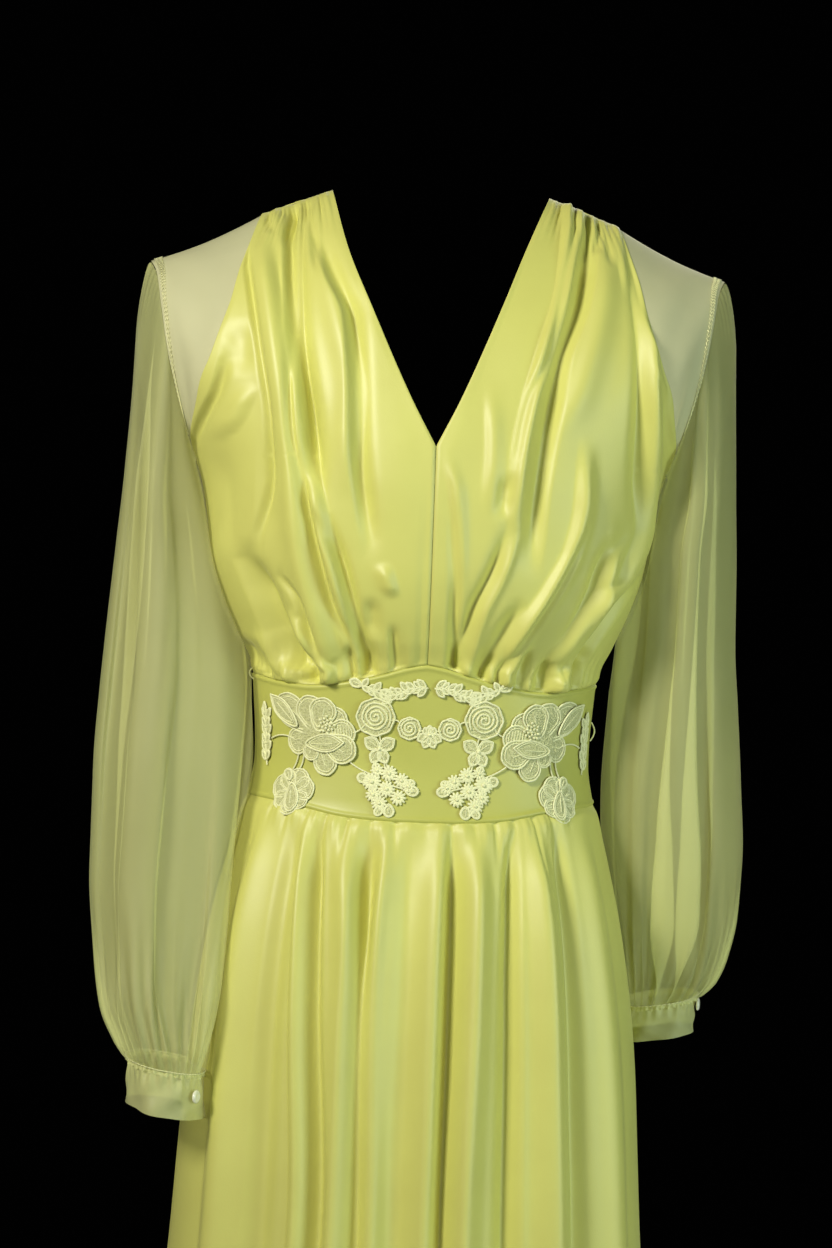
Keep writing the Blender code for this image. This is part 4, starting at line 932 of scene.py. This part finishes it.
def skirt_panel(name, side, front, folds, puckers):
    rows, columns = (100, 320) if front else (100, 130)
    down = np.linspace(0.0, 1.0, rows + 1)[:, None] ** 1.8
    turn, degrees, sign = panel_turns(columns, front, side)
    top = band_bottom(seam_out(degrees)) if front else np.full_like(degrees, BAND_BACK[1])
    height = blend(top - SEAM / 2, HEM, down)
    turns = np.broadcast_to(turn, height.shape)
    grid = figure_at(np.broadcast_to(degrees, height.shape), height, -1 if front else 1)
    rise = skirt_drape(folds, puckers, turns, height, top)
    rise = rise + slow_wrinkles(grid[..., 0] * sign * 0.7, height * 0.5, 4.0) * ease(down / 0.05)
    held = ease(degrees / 10.0) * (1.0 if front else ease((90 - degrees) / 6.0))
    grid += unit(grid * (0.8, 1.0, 0.0)) * (rise * held)[..., None]
    grid[..., 0] = np.maximum(grid[..., 0], 0.0 if front else SEAM / 2) * sign
    end_at_sides(grid, degrees, front)
    return sheet_of_cloth(name, grid, satin, SATIN_THICKNESS)


skirt = skirt_panel("skirt_front_panel", 1, True, FRONT_FOLDS, FRONT_PUCKERS)
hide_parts("skirt_front")
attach(skirt, "root")
for word, side in (("right", -1), ("left", 1)):
    skirt = skirt_panel(f"skirt_back_panel_{word}", side, False, BACK_FOLDS, BACK_PUCKERS)
    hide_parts(f"skirt_back_{word}")
    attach(skirt, "root")


# Lace
# Thick corded lace motifs, cut out and sewn on the band, mirrored about its
# centre: domed petals of seed stitch inside rims of doubled cord, joined by stems.
BAND_FACE, LACE_LIFT = 0.00065, 0.0004
LACE_SHIFT = 0.003
CORD = 0.00068
# Each motif's middle: distance along the band, height
MOTIF_PLACES = {
    "flower": (0.0760, -0.3765), "rose": (0.0360, -0.3622), "bud": (0.0135, -0.3690),
    "daisies": (0.0270, -0.4090), "tulip": (0.0925, -0.4150), "sprig": (0.1220, -0.3790),
    "garland": (0.0260, -0.3450), "trefoil": (0.0330, -0.3835), "fan": (0.0000, -0.3730),
}
# Petals of each motif: degrees from outward, length, half angle in degrees
MOTIF_PETALS = {
    "flower": (
        (38.0, 0.0400, 17.0), (72.0, 0.0275, 24.0), (104.0, 0.0260, 24.0), (138.0, 0.0250, 25.0),
        (172.0, 0.0265, 23.0), (205.0, 0.0290, 22.0), (345.0, 0.0230, 26.0), (250.0, 0.0270, 20.0),
        (290.0, 0.0170, 24.0),
    ),
    "tulip": (
        (18.0, 0.0165, 27.0), (62.0, 0.0150, 25.0), (118.0, 0.0165, 27.0), (165.0, 0.0165, 27.0),
        (215.0, 0.0145, 25.0), (322.0, 0.0145, 25.0), (268.0, 0.0150, 26.0),
    ),
    "trefoil": ((35.0, 0.0120, 24.0), (145.0, 0.0120, 24.0), (242.0, 0.0105, 24.0), (298.0, 0.0105, 24.0)),
    "fan": (
        (52.0, 0.0060, 30.0), (90.0, 0.0064, 26.0), (128.0, 0.0060, 30.0), (205.0, 0.0088, 24.0),
        (248.0, 0.0092, 23.0), (292.0, 0.0092, 23.0), (335.0, 0.0088, 24.0),
    ),
}


def band_route(height):
    """Degrees from the side seam against the length along the band's front."""
    degrees = np.linspace(90.0, 0.0, 241)
    route = figure_at(degrees, np.full_like(degrees, height), -1)
    steps = np.linalg.norm(np.diff(route, axis=0), axis=1)
    return list(zip(np.concatenate(([0.0], np.cumsum(steps))), degrees))


degrees_along_band = curve_of(band_route(WAIST))


def on_band(flat):
    """Lays flat lace on the band: distance along it, height, and how far it stands off."""
    along, height, lift = flat[:, 0], flat[:, 1], flat[:, 2]
    degrees = degrees_along_band(np.abs(along))
    nearer = np.minimum(90.0, degrees + 0.5)
    step = figure_at(nearer - 1.0, height, -1) - figure_at(nearer, height, -1)
    away = unit(np.stack((-step[:, 1], step[:, 0], np.zeros_like(height)), axis=1))
    places = figure_at(degrees, height, -1)
    inward = np.sum(away * places, axis=1) < 0
    away[inward] *= -1
    places = places + away * (BAND_FACE + LACE_LIFT + lift)[:, None]
    places[:, 0] = np.copysign(places[:, 0], along)
    return places


def add_cord(lace, line, radius=CORD, closed=False):
    """A stitched-over cord along a line; every other stitch is a little thinner."""
    line = np.asarray(line, dtype=float)
    count = len(line)
    if closed:
        ahead = np.roll(line, -1, axis=0) - np.roll(line, 1, axis=0)
    else:
        ahead = np.gradient(line, axis=0)
    ahead = unit(ahead)
    beside = np.stack((-ahead[:, 1], ahead[:, 0], np.zeros(count)), axis=1)
    stitch = radius * np.where(np.arange(count) % 2 == 0, 1.0, 0.80)
    angles = np.radians((-20.0, 35.0, 90.0, 145.0, 200.0))
    start = len(lace["places"])
    for k in range(count):
        for a in angles:
            raised = (0, 0, math.sin(a) * stitch[k])
            lace["places"].append(line[k] + beside[k] * math.cos(a) * stitch[k] + raised)
    around = len(angles)
    for k in range(count if closed else count - 1):
        here, there = start + k * around, start + (k + 1) % count * around
        for a in range(around - 1):
            lace["faces"].append((here + a, there + a, there + a + 1, here + a + 1))


def add_plate(lace, rim, middle, low, dome):
    """Seed-stitched filling inside a rim, domed towards its middle."""
    count = len(rim)
    start = len(lace["places"])
    lace["places"].append(np.array((middle[0], middle[1], low + dome)))
    shares = (0.34, 0.67, 1.0)
    for share in shares:
        for place in rim:
            x, y = blend(middle[0], place[0], share), blend(middle[1], place[1], share)
            lace["places"].append(np.array((x, y, low + dome * (1 - share * share))))
    for k in range(count):
        m = (k + 1) % count
        lace["faces"].append((start, start + 1 + k, start + 1 + m))
        for ring in range(len(shares) - 1):
            a = start + 1 + ring * count
            lace["faces"].append((a + k, a + count + k, a + count + m, a + m))
    lace["filling"].update(range(len(lace["faces"]) - count * len(shares), len(lace["faces"])))


def add_petal(lace, base, turn, length, half_angle, lift=0.0, scallops=0.0, point=0.0, stripes=0, vein=True):
    """A petal or leaf: a domed plate inside an outer and an inner cord."""
    angle = math.radians(turn)
    ahead = np.array((math.cos(angle), math.sin(angle)))
    beside = np.array((-ahead[1], ahead[0]))
    width = length * math.tan(math.radians(half_angle))
    count = max(14, int(length * 1400))
    rim = []
    for k in range(count):
        a = math.tau * k / count
        s = 0.5 - 0.5 * math.cos(a)
        r = math.sin(a) * (0.55 + 0.62 * s) * (1 - point * s ** 4)
        r *= 1 + scallops * math.cos(7 * a)
        rim.append(base + ahead * length * (s + 0.5 * scallops * math.cos(6 * a) * s) + beside * width * r)
    rim = np.array(rim)
    middle = base + ahead * length * 0.55
    add_plate(lace, rim, middle, 0.0003 + lift, 0.0008)
    high = np.full((count, 1), 0.0006 + lift)
    add_cord(lace, np.hstack((rim, high)), CORD * 1.05, closed=True)
    inner = middle + (rim - middle) * 0.80
    add_cord(lace, np.hstack((inner, high + 0.0002)), CORD * 0.62, closed=True)
    if vein:
        steps = np.linspace(0.15, 0.72, 7)[:, None]
        line = base + ahead * length * steps + beside * width * 0.10 * np.sin(3 * steps)
        add_cord(lace, np.hstack((line, np.full((7, 1), 0.0011 + lift))), CORD * 0.5)
    for k in range(stripes):
        s = blend(0.35, 0.85, k / max(1, stripes - 1))
        half = width * 0.62 * math.sin(math.pi * s) ** 0.5
        steps = np.linspace(-1.0, 1.0, 6)[:, None]
        line = base + ahead * length * s + beside * half * steps
        add_cord(lace, np.hstack((line, 0.0011 + lift - 0.0004 * steps ** 2)), CORD * 0.5)


def add_knot(lace, place, radius, lift=0.0008):
    """A French knot: a small raised bead of thread."""
    start = len(lace["places"])
    rings = ((1.0, 0.0), (0.92, 0.55), (0.55, 0.95))
    for share, up in rings:
        for k in range(7):
            a = math.tau * (k + 0.5 * (share == 0.92)) / 7
            lace["places"].append(np.array((
                place[0] + radius * share * math.cos(a),
                place[1] + radius * share * math.sin(a),
                lift + radius * up,
            )))
    lace["places"].append(np.array((place[0], place[1], lift + radius * 1.05)))
    for ring in range(2):
        a = start + ring * 7
        for k in range(7):
            m = (k + 1) % 7
            lace["faces"].append((a + k, a + m, a + 7 + m, a + 7 + k))
    for k in range(7):
        lace["faces"].append((start + 14 + k, start + 14 + (k + 1) % 7, start + 21))


def add_rose(lace, radius, turns):
    """A rose: a cord coiled round on a small plate, with a waved outer rim."""
    angles = np.linspace(0.0, math.tau, 48, endpoint=False)
    edge = radius * (1 + 0.030 * np.cos(8 * angles))
    rim = np.stack((edge * np.cos(angles), edge * np.sin(angles)), axis=1)
    add_plate(lace, rim, (0.0, 0.0), 0.0003, 0.0007)
    add_cord(lace, np.hstack((rim, np.full((48, 1), 0.0007))), CORD * 1.2, closed=True)
    coil = np.linspace(0.0, math.tau * turns, int(24 * turns))
    reach = blend(0.0008, radius * 0.84, coil / coil[-1]) * (1 + 0.028 * np.cos(4.37 * coil + 0.6))
    line = np.stack((reach * np.cos(coil), reach * np.sin(coil), 0.0013 - 0.0005 * coil / coil[-1]), axis=1)
    add_cord(lace, line, CORD * 1.15)


def add_daisy(lace, middle, petals, length, turned):
    for k in range(petals):
        angle = math.tau * k / petals + turned
        ahead = np.array((math.cos(angle), math.sin(angle)))
        beside = np.array((-ahead[1], ahead[0]))
        start = len(lace["places"])
        for s, r, up in (
            (0.15, 0.35, 0.5), (0.60, 1.0, 0.6), (1.00, 0.55, 0.2),
            (1.00, -0.55, 0.2), (0.60, -1.0, 0.6), (0.15, -0.35, 0.5),
        ):
            flat = middle + ahead * length * s + beside * length * 0.19 * r
            lace["places"].append(np.array((flat[0], flat[1], 0.0007 + 0.0006 * up)))
        top = middle + ahead * length * 0.62
        lace["places"].append(np.array((top[0], top[1], 0.0021)))
        for k2 in range(6):
            lace["faces"].append((start + k2, start + (k2 + 1) % 6, start + 6))
    add_knot(lace, middle, length * 0.24, 0.0012)


def add_stem(lace, ends, sway, radius=CORD * 0.9):
    """A corded stem between two places, swaying to one side."""
    (x0, y0), (x1, y1) = ends
    t = np.linspace(0.0, 1.0, max(8, int(math.hypot(x1 - x0, y1 - y0) * 900)))
    arch = sway * 4 * t * (1 - t)
    x, y = blend(x0, x1, t) - (y1 - y0) * arch, blend(y0, y1, t) + (x1 - x0) * arch
    add_cord(lace, np.stack((x, y, np.full_like(t, 0.0005)), axis=1), radius)


def lace_flat(kind):
    """One motif, flat: distances from its own middle, outward and up."""
    lace = {"places": [], "faces": [], "filling": set()}
    centre = np.array((0.0, 0.0))
    if kind == "flower":
        for k, (turn, length, half) in enumerate(MOTIF_PETALS[kind]):
            angle = math.radians(turn)
            base = 0.0035 * np.array((math.cos(angle), math.sin(angle)))
            stripes = 7 if turn == 172.0 else 0
            add_petal(lace, base, turn, length - 0.0035, half, 0.00050 * (k % 3), 0.035, 0.0, stripes)
        heart = np.radians(np.arange(24) * 15.0)
        heart_rim = np.stack((0.0110 * np.cos(heart), 0.0110 * np.sin(heart)), axis=1)
        add_plate(lace, heart_rim, centre, 0.0014, 0.0006)
        add_petal(lace, np.array((0.0075, -0.0055)), 176.0, 0.0270, 15.0, 0.0019, 0.0, 0.85)
        add_petal(lace, np.array((0.0150, 0.0060)), 41.0, 0.0310, 13.0, 0.0016, 0.0, 0.90)
        for k in range(20):
            angle, reach = 2.4 * k, 0.0011 * math.sqrt(k) * 1.25
            knot = (-0.0070 + reach * math.cos(angle), 0.0075 + reach * math.sin(angle))
            add_knot(lace, knot, 0.00105, 0.0021)
        for ends, sway in (
            (((0.012, -0.006), (0.040, -0.0035)), 0.14), (((0.010, -0.010), (0.017, -0.028)), -0.12),
            (((0.014, -0.008), (0.021, -0.027)), -0.10), (((-0.020, 0.003), (-0.033, 0.009)), 0.15),
            (((-0.018, -0.012), (-0.038, -0.024)), 0.06),
        ):
            add_stem(lace, ends, sway)
    elif kind == "rose":
        add_rose(lace, 0.0124, 3.6)
    elif kind == "bud":
        add_rose(lace, 0.0072, 2.3)
        add_stem(lace, ((-0.006, -0.001), (-0.010, 0.0)), 0.2)
        add_stem(lace, ((0.006, 0.003), (0.012, 0.005)), 0.2)
    elif kind == "daisies":
        for x, y, petals, length, turned in (
            (0.0100, 0.0035, 13, 0.0062, 0.1), (-0.0010, 0.0095, 12, 0.0056, 0.4),
            (-0.0095, 0.0050, 11, 0.0052, 0.2), (0.0000, -0.0010, 12, 0.0056, 0.0),
            (-0.0080, -0.0065, 11, 0.0052, 0.3), (0.0040, -0.0105, 11, 0.0052, 0.5),
            (0.0085, -0.0050, 11, 0.0050, 0.2), (-0.0145, 0.0010, 10, 0.0046, 0.6),
            (0.0070, 0.0110, 10, 0.0046, 0.0),
        ):
            add_daisy(lace, np.array((x, y)), petals, length, turned)
        for x, y, turn, length in (
            (-0.0125, -0.0020, 178.0, 0.0085), (-0.0120, 0.0010, 150.0, 0.0070),
            (-0.0020, -0.0110, 262.0, 0.0085), (0.0030, -0.0120, 285.0, 0.0070),
            (0.0120, 0.0040, 22.0, 0.0085), (0.0060, 0.0100, 62.0, 0.0065),
        ):
            add_petal(lace, np.array((x, y)), turn, length, 24.0, 0.0, 0.0, 0.4)
        add_stem(lace, ((-0.012, -0.001), (0.012, 0.002)), 0.05, CORD)
        add_stem(lace, ((0.000, 0.012), (0.005, 0.021)), 0.10)
    elif kind == "garland":
        add_stem(lace, ((-0.0240, 0.0035), (0.0215, 0.0040)), -0.075, CORD)
        for k in range(12):
            x = blend(-0.0225, 0.0190, k / 11)
            sag = 0.0036 - 0.0066 * math.cos(math.pi * (x - 0.0015) / 0.045) ** 2
            for turn in (42.0 + 14.0 * math.sin(3.0 * k), -38.0 - 13.0 * math.sin(2.0 * k + 1.0)):
                size = (0.0078, 0.0058, 0.0068)[k % 3]
                turned = turn if k < 7 else 180.0 - turn
                add_petal(lace, np.array((x, sag)), turned, size, 17.0, 0.0, 0.0, 0.85, 0, False)
        add_petal(lace, np.array((0.0195, 0.0035)), 24.0, 0.0085, 22.0, 0.0, 0.0, 0.6)
    elif kind == "sprig":
        add_stem(lace, ((0.0020, 0.0200), (-0.0010, -0.0195)), 0.06, CORD)
        for k in range(6):
            y = blend(0.0120, -0.0160, k / 5)
            for turn in (52.0, 128.0):
                size = (0.0092, 0.0078)[k % 2]
                lift = 0.0004 * (k % 2)
                add_petal(lace, np.array((0.0008, y)), turn, size, 17.0, lift, 0.0, 0.85, 0, False)
        add_petal(lace, np.array((0.0020, 0.0150)), 88.0, 0.0085, 17.0, 0.0004, 0.0, 0.85)
    else:
        scallops = 0.05 if kind == "tulip" else 0.0
        for turn, length, half in MOTIF_PETALS[kind]:
            add_petal(lace, centre, turn, length, half, 0.0, scallops, 0.0 if kind == "tulip" else 0.85)
        if kind == "tulip":
            add_petal(lace, np.array((0.0, 0.006)), 262.0, 0.0190, 17.0, 0.0010, 0.0, 0.3)
            add_petal(lace, np.array((0.002, 0.008)), 60.0, 0.0080, 24.0, 0.0010, 0.0, 0.0)
        if kind == "trefoil":
            add_stem(lace, ((0.000, 0.001), (0.001, 0.011)), 0.1)
            add_stem(lace, ((-0.004, -0.001), (-0.005, -0.014)), 0.1)
        add_knot(lace, centre, 0.0012, 0.0010)
    return lace


lace_cord = dyed_cloth(
    "corded lace thread", (0.900, 0.895, 0.540, 1.0), (0.800, 0.795, 0.420, 1.0),
    (0.60, 0.80), 0.30, 1800.0, 0.6,
)
# Seed-stitch filling whose deep tone marks its holes: partly the band seen through them, partly painted shade
# in them.
lace_filling_painted_shade = dyed_cloth(
    "seed stitch", (0.960, 0.955, 0.560, 1.0), (0.380, 0.385, 0.080, 1.0), (0.70, 0.88), 0.20, 1300.0, 1.0,
)
# The filling's holes, drawn as dark spots that are partly the band seen through them and partly painted
# shade: how close together, how deep in tone and in relief
HOLE_CLOSENESS, HOLE_SOFTNESS, HOLE_RELIEF = 950.0, 1.4, 0.0009
filling_nodes = lace_filling_painted_shade.node_tree.nodes
set_values((
    (filling_nodes["Group"], "Unevenness", HOLE_CLOSENESS),
    (filling_nodes["Group"], "Softness", HOLE_SOFTNESS),
    (filling_nodes["Bump"], "Distance", HOLE_RELIEF),
))


def lace_motif(kind, side, word):
    lace = lace_flat(kind)
    flat = np.array(lace["places"])
    along, height = MOTIF_PLACES[kind]
    flat[:, 0] = side * (flat[:, 0] + along) + LACE_SHIFT
    flat[:, 1] += height
    data = bpy.data.meshes.new(f"lace_motif_{kind}{word}")
    data.from_pydata(on_band(flat).tolist(), [], lace["faces"])
    data.update()
    mesh = bmesh.new()
    mesh.from_mesh(data)
    bmesh.ops.recalc_face_normals(mesh, faces=mesh.faces)
    mesh.to_mesh(data)
    mesh.free()
    data.shade_smooth()
    data.materials.append(lace_cord)
    data.materials.append(lace_filling_painted_shade)
    filled = [int(k in lace["filling"]) for k in range(len(lace["faces"]))]
    data.polygons.foreach_set("material_index", filled)
    made = placed(data.name, data)
    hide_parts(f"lace_{kind}{word}")
    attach(made, "root")


for kind in MOTIF_PLACES:
    if kind == "fan":
        lace_motif(kind, 1, "")
    else:
        lace_motif(kind, -1, "_right")
        lace_motif(kind, 1, "_left")


# Sewing and fittings
# Zigzag stitching holds each armhole seam, a row of stitches gathers each sleeve
# into its cuff, and thread loops carry a belt at the sides of the waist band.
sewing_thread = dyed_cloth(
    "sewing thread", (0.880, 0.870, 0.480, 1.0), (0.780, 0.770, 0.380, 1.0), (0.50, 0.70), 0.20, 2400.0, 0.3,
)
ZIGZAG_STEPS = 210
THREAD = 0.00034
ZIGZAG_ACROSS, ZIGZAG_LIFT = (0.895, 0.930, 0.965), 0.0006
ALLOWANCE_OUT, ALLOWANCE_UP, ALLOWANCE_DEPTH = 0.0012, 0.0010, 0.0034
# Belt carriers: heights of their two ends, degrees round, bow outward, thread
CARRIER_ENDS = {"right": (-0.3330, -0.3410), "left": (-0.3630, -0.3760)}
CARRIER_TURN, CARRIER_STEPS, CARRIER_BOW, CARRIER_THREAD = 9.0, 12, 0.0026, 0.00055


def thread_line(name, places, radius, closed=False):
    """A round thread that follows a line of places."""
    places = np.asarray(places, dtype=float)
    if closed:
        ahead = unit(np.roll(places, -1, axis=0) - np.roll(places, 1, axis=0))
    else:
        ahead = unit(np.gradient(places, axis=0))
    beside = unit(np.cross(ahead, (0.31, 0.87, 0.38)))
    above = np.cross(ahead, beside)
    angles = np.radians(np.arange(5) * 72.0)
    ring = beside[:, None] * np.cos(angles)[None, :, None] + above[:, None] * np.sin(angles)[None, :, None]
    grid = places[:, None] + radius * ring
    if closed:
        grid = np.concatenate((grid, grid[:1]), axis=0)
    made = sheet_of_cloth(name, grid, sewing_thread, wraps=True)
    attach(made, "root")


for word, side in (("right", -1), ("left", 1)):
    along_seam = np.linspace(YOKE_END - 4.0, 4.0 - YOKE_END, ZIGZAG_STEPS)
    strip = yoke_form(along_seam, np.array(ZIGZAG_ACROSS))
    lifted = strip + facing_of(strip) * ZIGZAG_LIFT
    for row, (near, far) in enumerate(((0, 1), (1, 2))):
        even = (np.arange(ZIGZAG_STEPS) % 2 == 0)[:, None]
        zigzag = np.where(even, lifted[:, near], lifted[:, far])
        zigzag[:, 0] *= side
        thread_line(f"armhole_zigzag_{row + 1}_{word}", zigzag, THREAD)

    turn = np.linspace(0.0, 360.0, 300, endpoint=False)
    table = SLEEVE[word]
    around = cuff_seam(table, turn)
    middle = cuff_seam(table, np.array([0.0, 180.0])).mean(axis=0)
    away = around - middle
    away[:, 2] = 0.0
    away = unit(away)
    down = np.linspace(0.0, 1.0, 5)[:, None]
    frill = 0.0009 * np.sin(np.radians(turn) * 47 + side)[None] * down
    frill = frill + 0.0005 * np.sin(np.radians(turn) * 19)[None]
    grid = around[None] + away[None] * (ALLOWANCE_OUT + frill)[..., None]
    uneven = 0.0006 * np.sin(np.radians(turn) * 31)
    grid[..., 2] += ALLOWANCE_UP - (ALLOWANCE_DEPTH + uneven)[None] * down
    grid = clear_of_dress(grid, SLEEVE_CLEARANCE)
    grid[..., 0] *= side
    allowance = sheet_of_cloth(f"cuff_seam_allowance_{word}", grid, cuff_chiffon, wraps=True)
    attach(allowance, "root")
    stitches = around + away * (0.0022 + 0.0005 * np.sin(np.radians(turn) * 60))[:, None]
    stitches[:, 2] += 0.0009
    stitches = clear_of_dress(stitches, SLEEVE_CLEARANCE)
    stitches[:, 0] *= side
    thread_line(f"cuff_gather_stitches_{word}", stitches, THREAD, True)

    heights = np.linspace(*CARRIER_ENDS[word], CARRIER_STEPS)
    at = figure_at(np.full(CARRIER_STEPS, CARRIER_TURN), heights, -1)
    at[:, 0] += 0.0009 + CARRIER_BOW * np.sin(np.linspace(0.0, math.pi, CARRIER_STEPS))
    at[:, 0] *= side
    thread_line(f"belt_carrier_{word}", at, CARRIER_THREAD)


# Studio
# A pale floor well below the hanging dress and a dark room behind it. A soft lamp
# stands high in front on the left, with a weak one in front, a cool one low on the
# right and one behind that shows through the chiffon.
FLOOR_RADIUS, FLOOR_HEIGHT = 3.2, -1.50
floor_mesh = bmesh.new()
bmesh.ops.create_circle(floor_mesh, cap_ends=True, segments=96, radius=FLOOR_RADIUS)
floor_data = bpy.data.meshes.new("floor")
floor_mesh.to_mesh(floor_data)
floor_mesh.free()
floor = placed("floor", floor_data)
floor.location = (0.0, 0.0, FLOOR_HEIGHT)
pale, pale_shader = mottled("pale floor", 3.0, (0.60, 0.60, 0.59, 1.0), (0.66, 0.66, 0.65, 1.0))[:2]
pale_shader.inputs["Roughness"].default_value = 0.7
floor_data.materials.append(pale)

room = bpy.data.worlds.new("dark room")
bpy.context.scene.world = room
room.use_nodes = True
backdrop = room.node_tree.nodes["Background"]
set_values(((backdrop, "Color", (0.0004, 0.0004, 0.0004, 1.0)), (backdrop, "Strength", 1.0)))

# Lamps: name, place, what each aims at, its two sizes, power, colour
for name, place, aim, size, power, colour in (
    ("soft key", (-1.50, -1.80, 0.85), (0.0, 0.0, -0.20), (0.60, 0.60), 9.6, (1.0, 0.98, 0.91)),
    ("front fill", (0.85, -2.50, -0.20), (0.04, 0.0, -0.35), (1.6, 1.6), 9.0, (1.0, 0.99, 0.94)),
    ("cool fill", (1.75, -1.25, -0.30), (0.10, 0.0, -0.40), (0.7, 1.3), 20.0, (0.76, 0.95, 0.90)),
    ("back lamp", (0.50, 2.30, 0.70), (0.0, 0.0, -0.50), (1.6, 1.6), 22.0, (1.0, 0.98, 0.88)),
):
    light = bpy.data.lights.new(name, "AREA")
    light.shape = "RECTANGLE"
    light.size, light.size_y = size
    light.energy = power
    light.color = colour
    lamp = placed(name, light)
    lamp.location = place
    lamp.rotation_euler = (Vector(aim) - Vector(place)).to_track_quat("-Z", "Y").to_euler()
bpy.data.lights["soft key"].spread = math.radians(70)
bpy.context.scene.view_settings.view_transform = "Standard"

CAMERA_TURN, CAMERA_ROLL = math.radians(-1.0), math.radians(2.0)
CAMERA_DISTANCE = 2.0
# The size of a photo pixel at the dress, and how many fill half the picture's height
PIXEL, HALF_PICTURE = 0.0007, 624
CAMERA_AIM = Vector((-0.0070, 0.0, -0.299))
camera_data = bpy.data.cameras.new("camera")
camera_data.sensor_fit = "VERTICAL"
camera_data.angle = 2 * math.atan(HALF_PICTURE * PIXEL / CAMERA_DISTANCE)
camera_data.clip_start = 0.05
camera = placed("camera", camera_data)
camera_back = Vector((math.sin(CAMERA_TURN), -math.cos(CAMERA_TURN), 0.0))
camera.matrix_world = (
    Matrix.Translation(CAMERA_AIM + CAMERA_DISTANCE * camera_back)
    @ Matrix.Rotation(CAMERA_TURN, 4, "Z")
    @ Matrix.Rotation(math.pi / 2, 4, "X")
    @ Matrix.Rotation(CAMERA_ROLL, 4, "Z")
)
bpy.context.scene.camera = camera
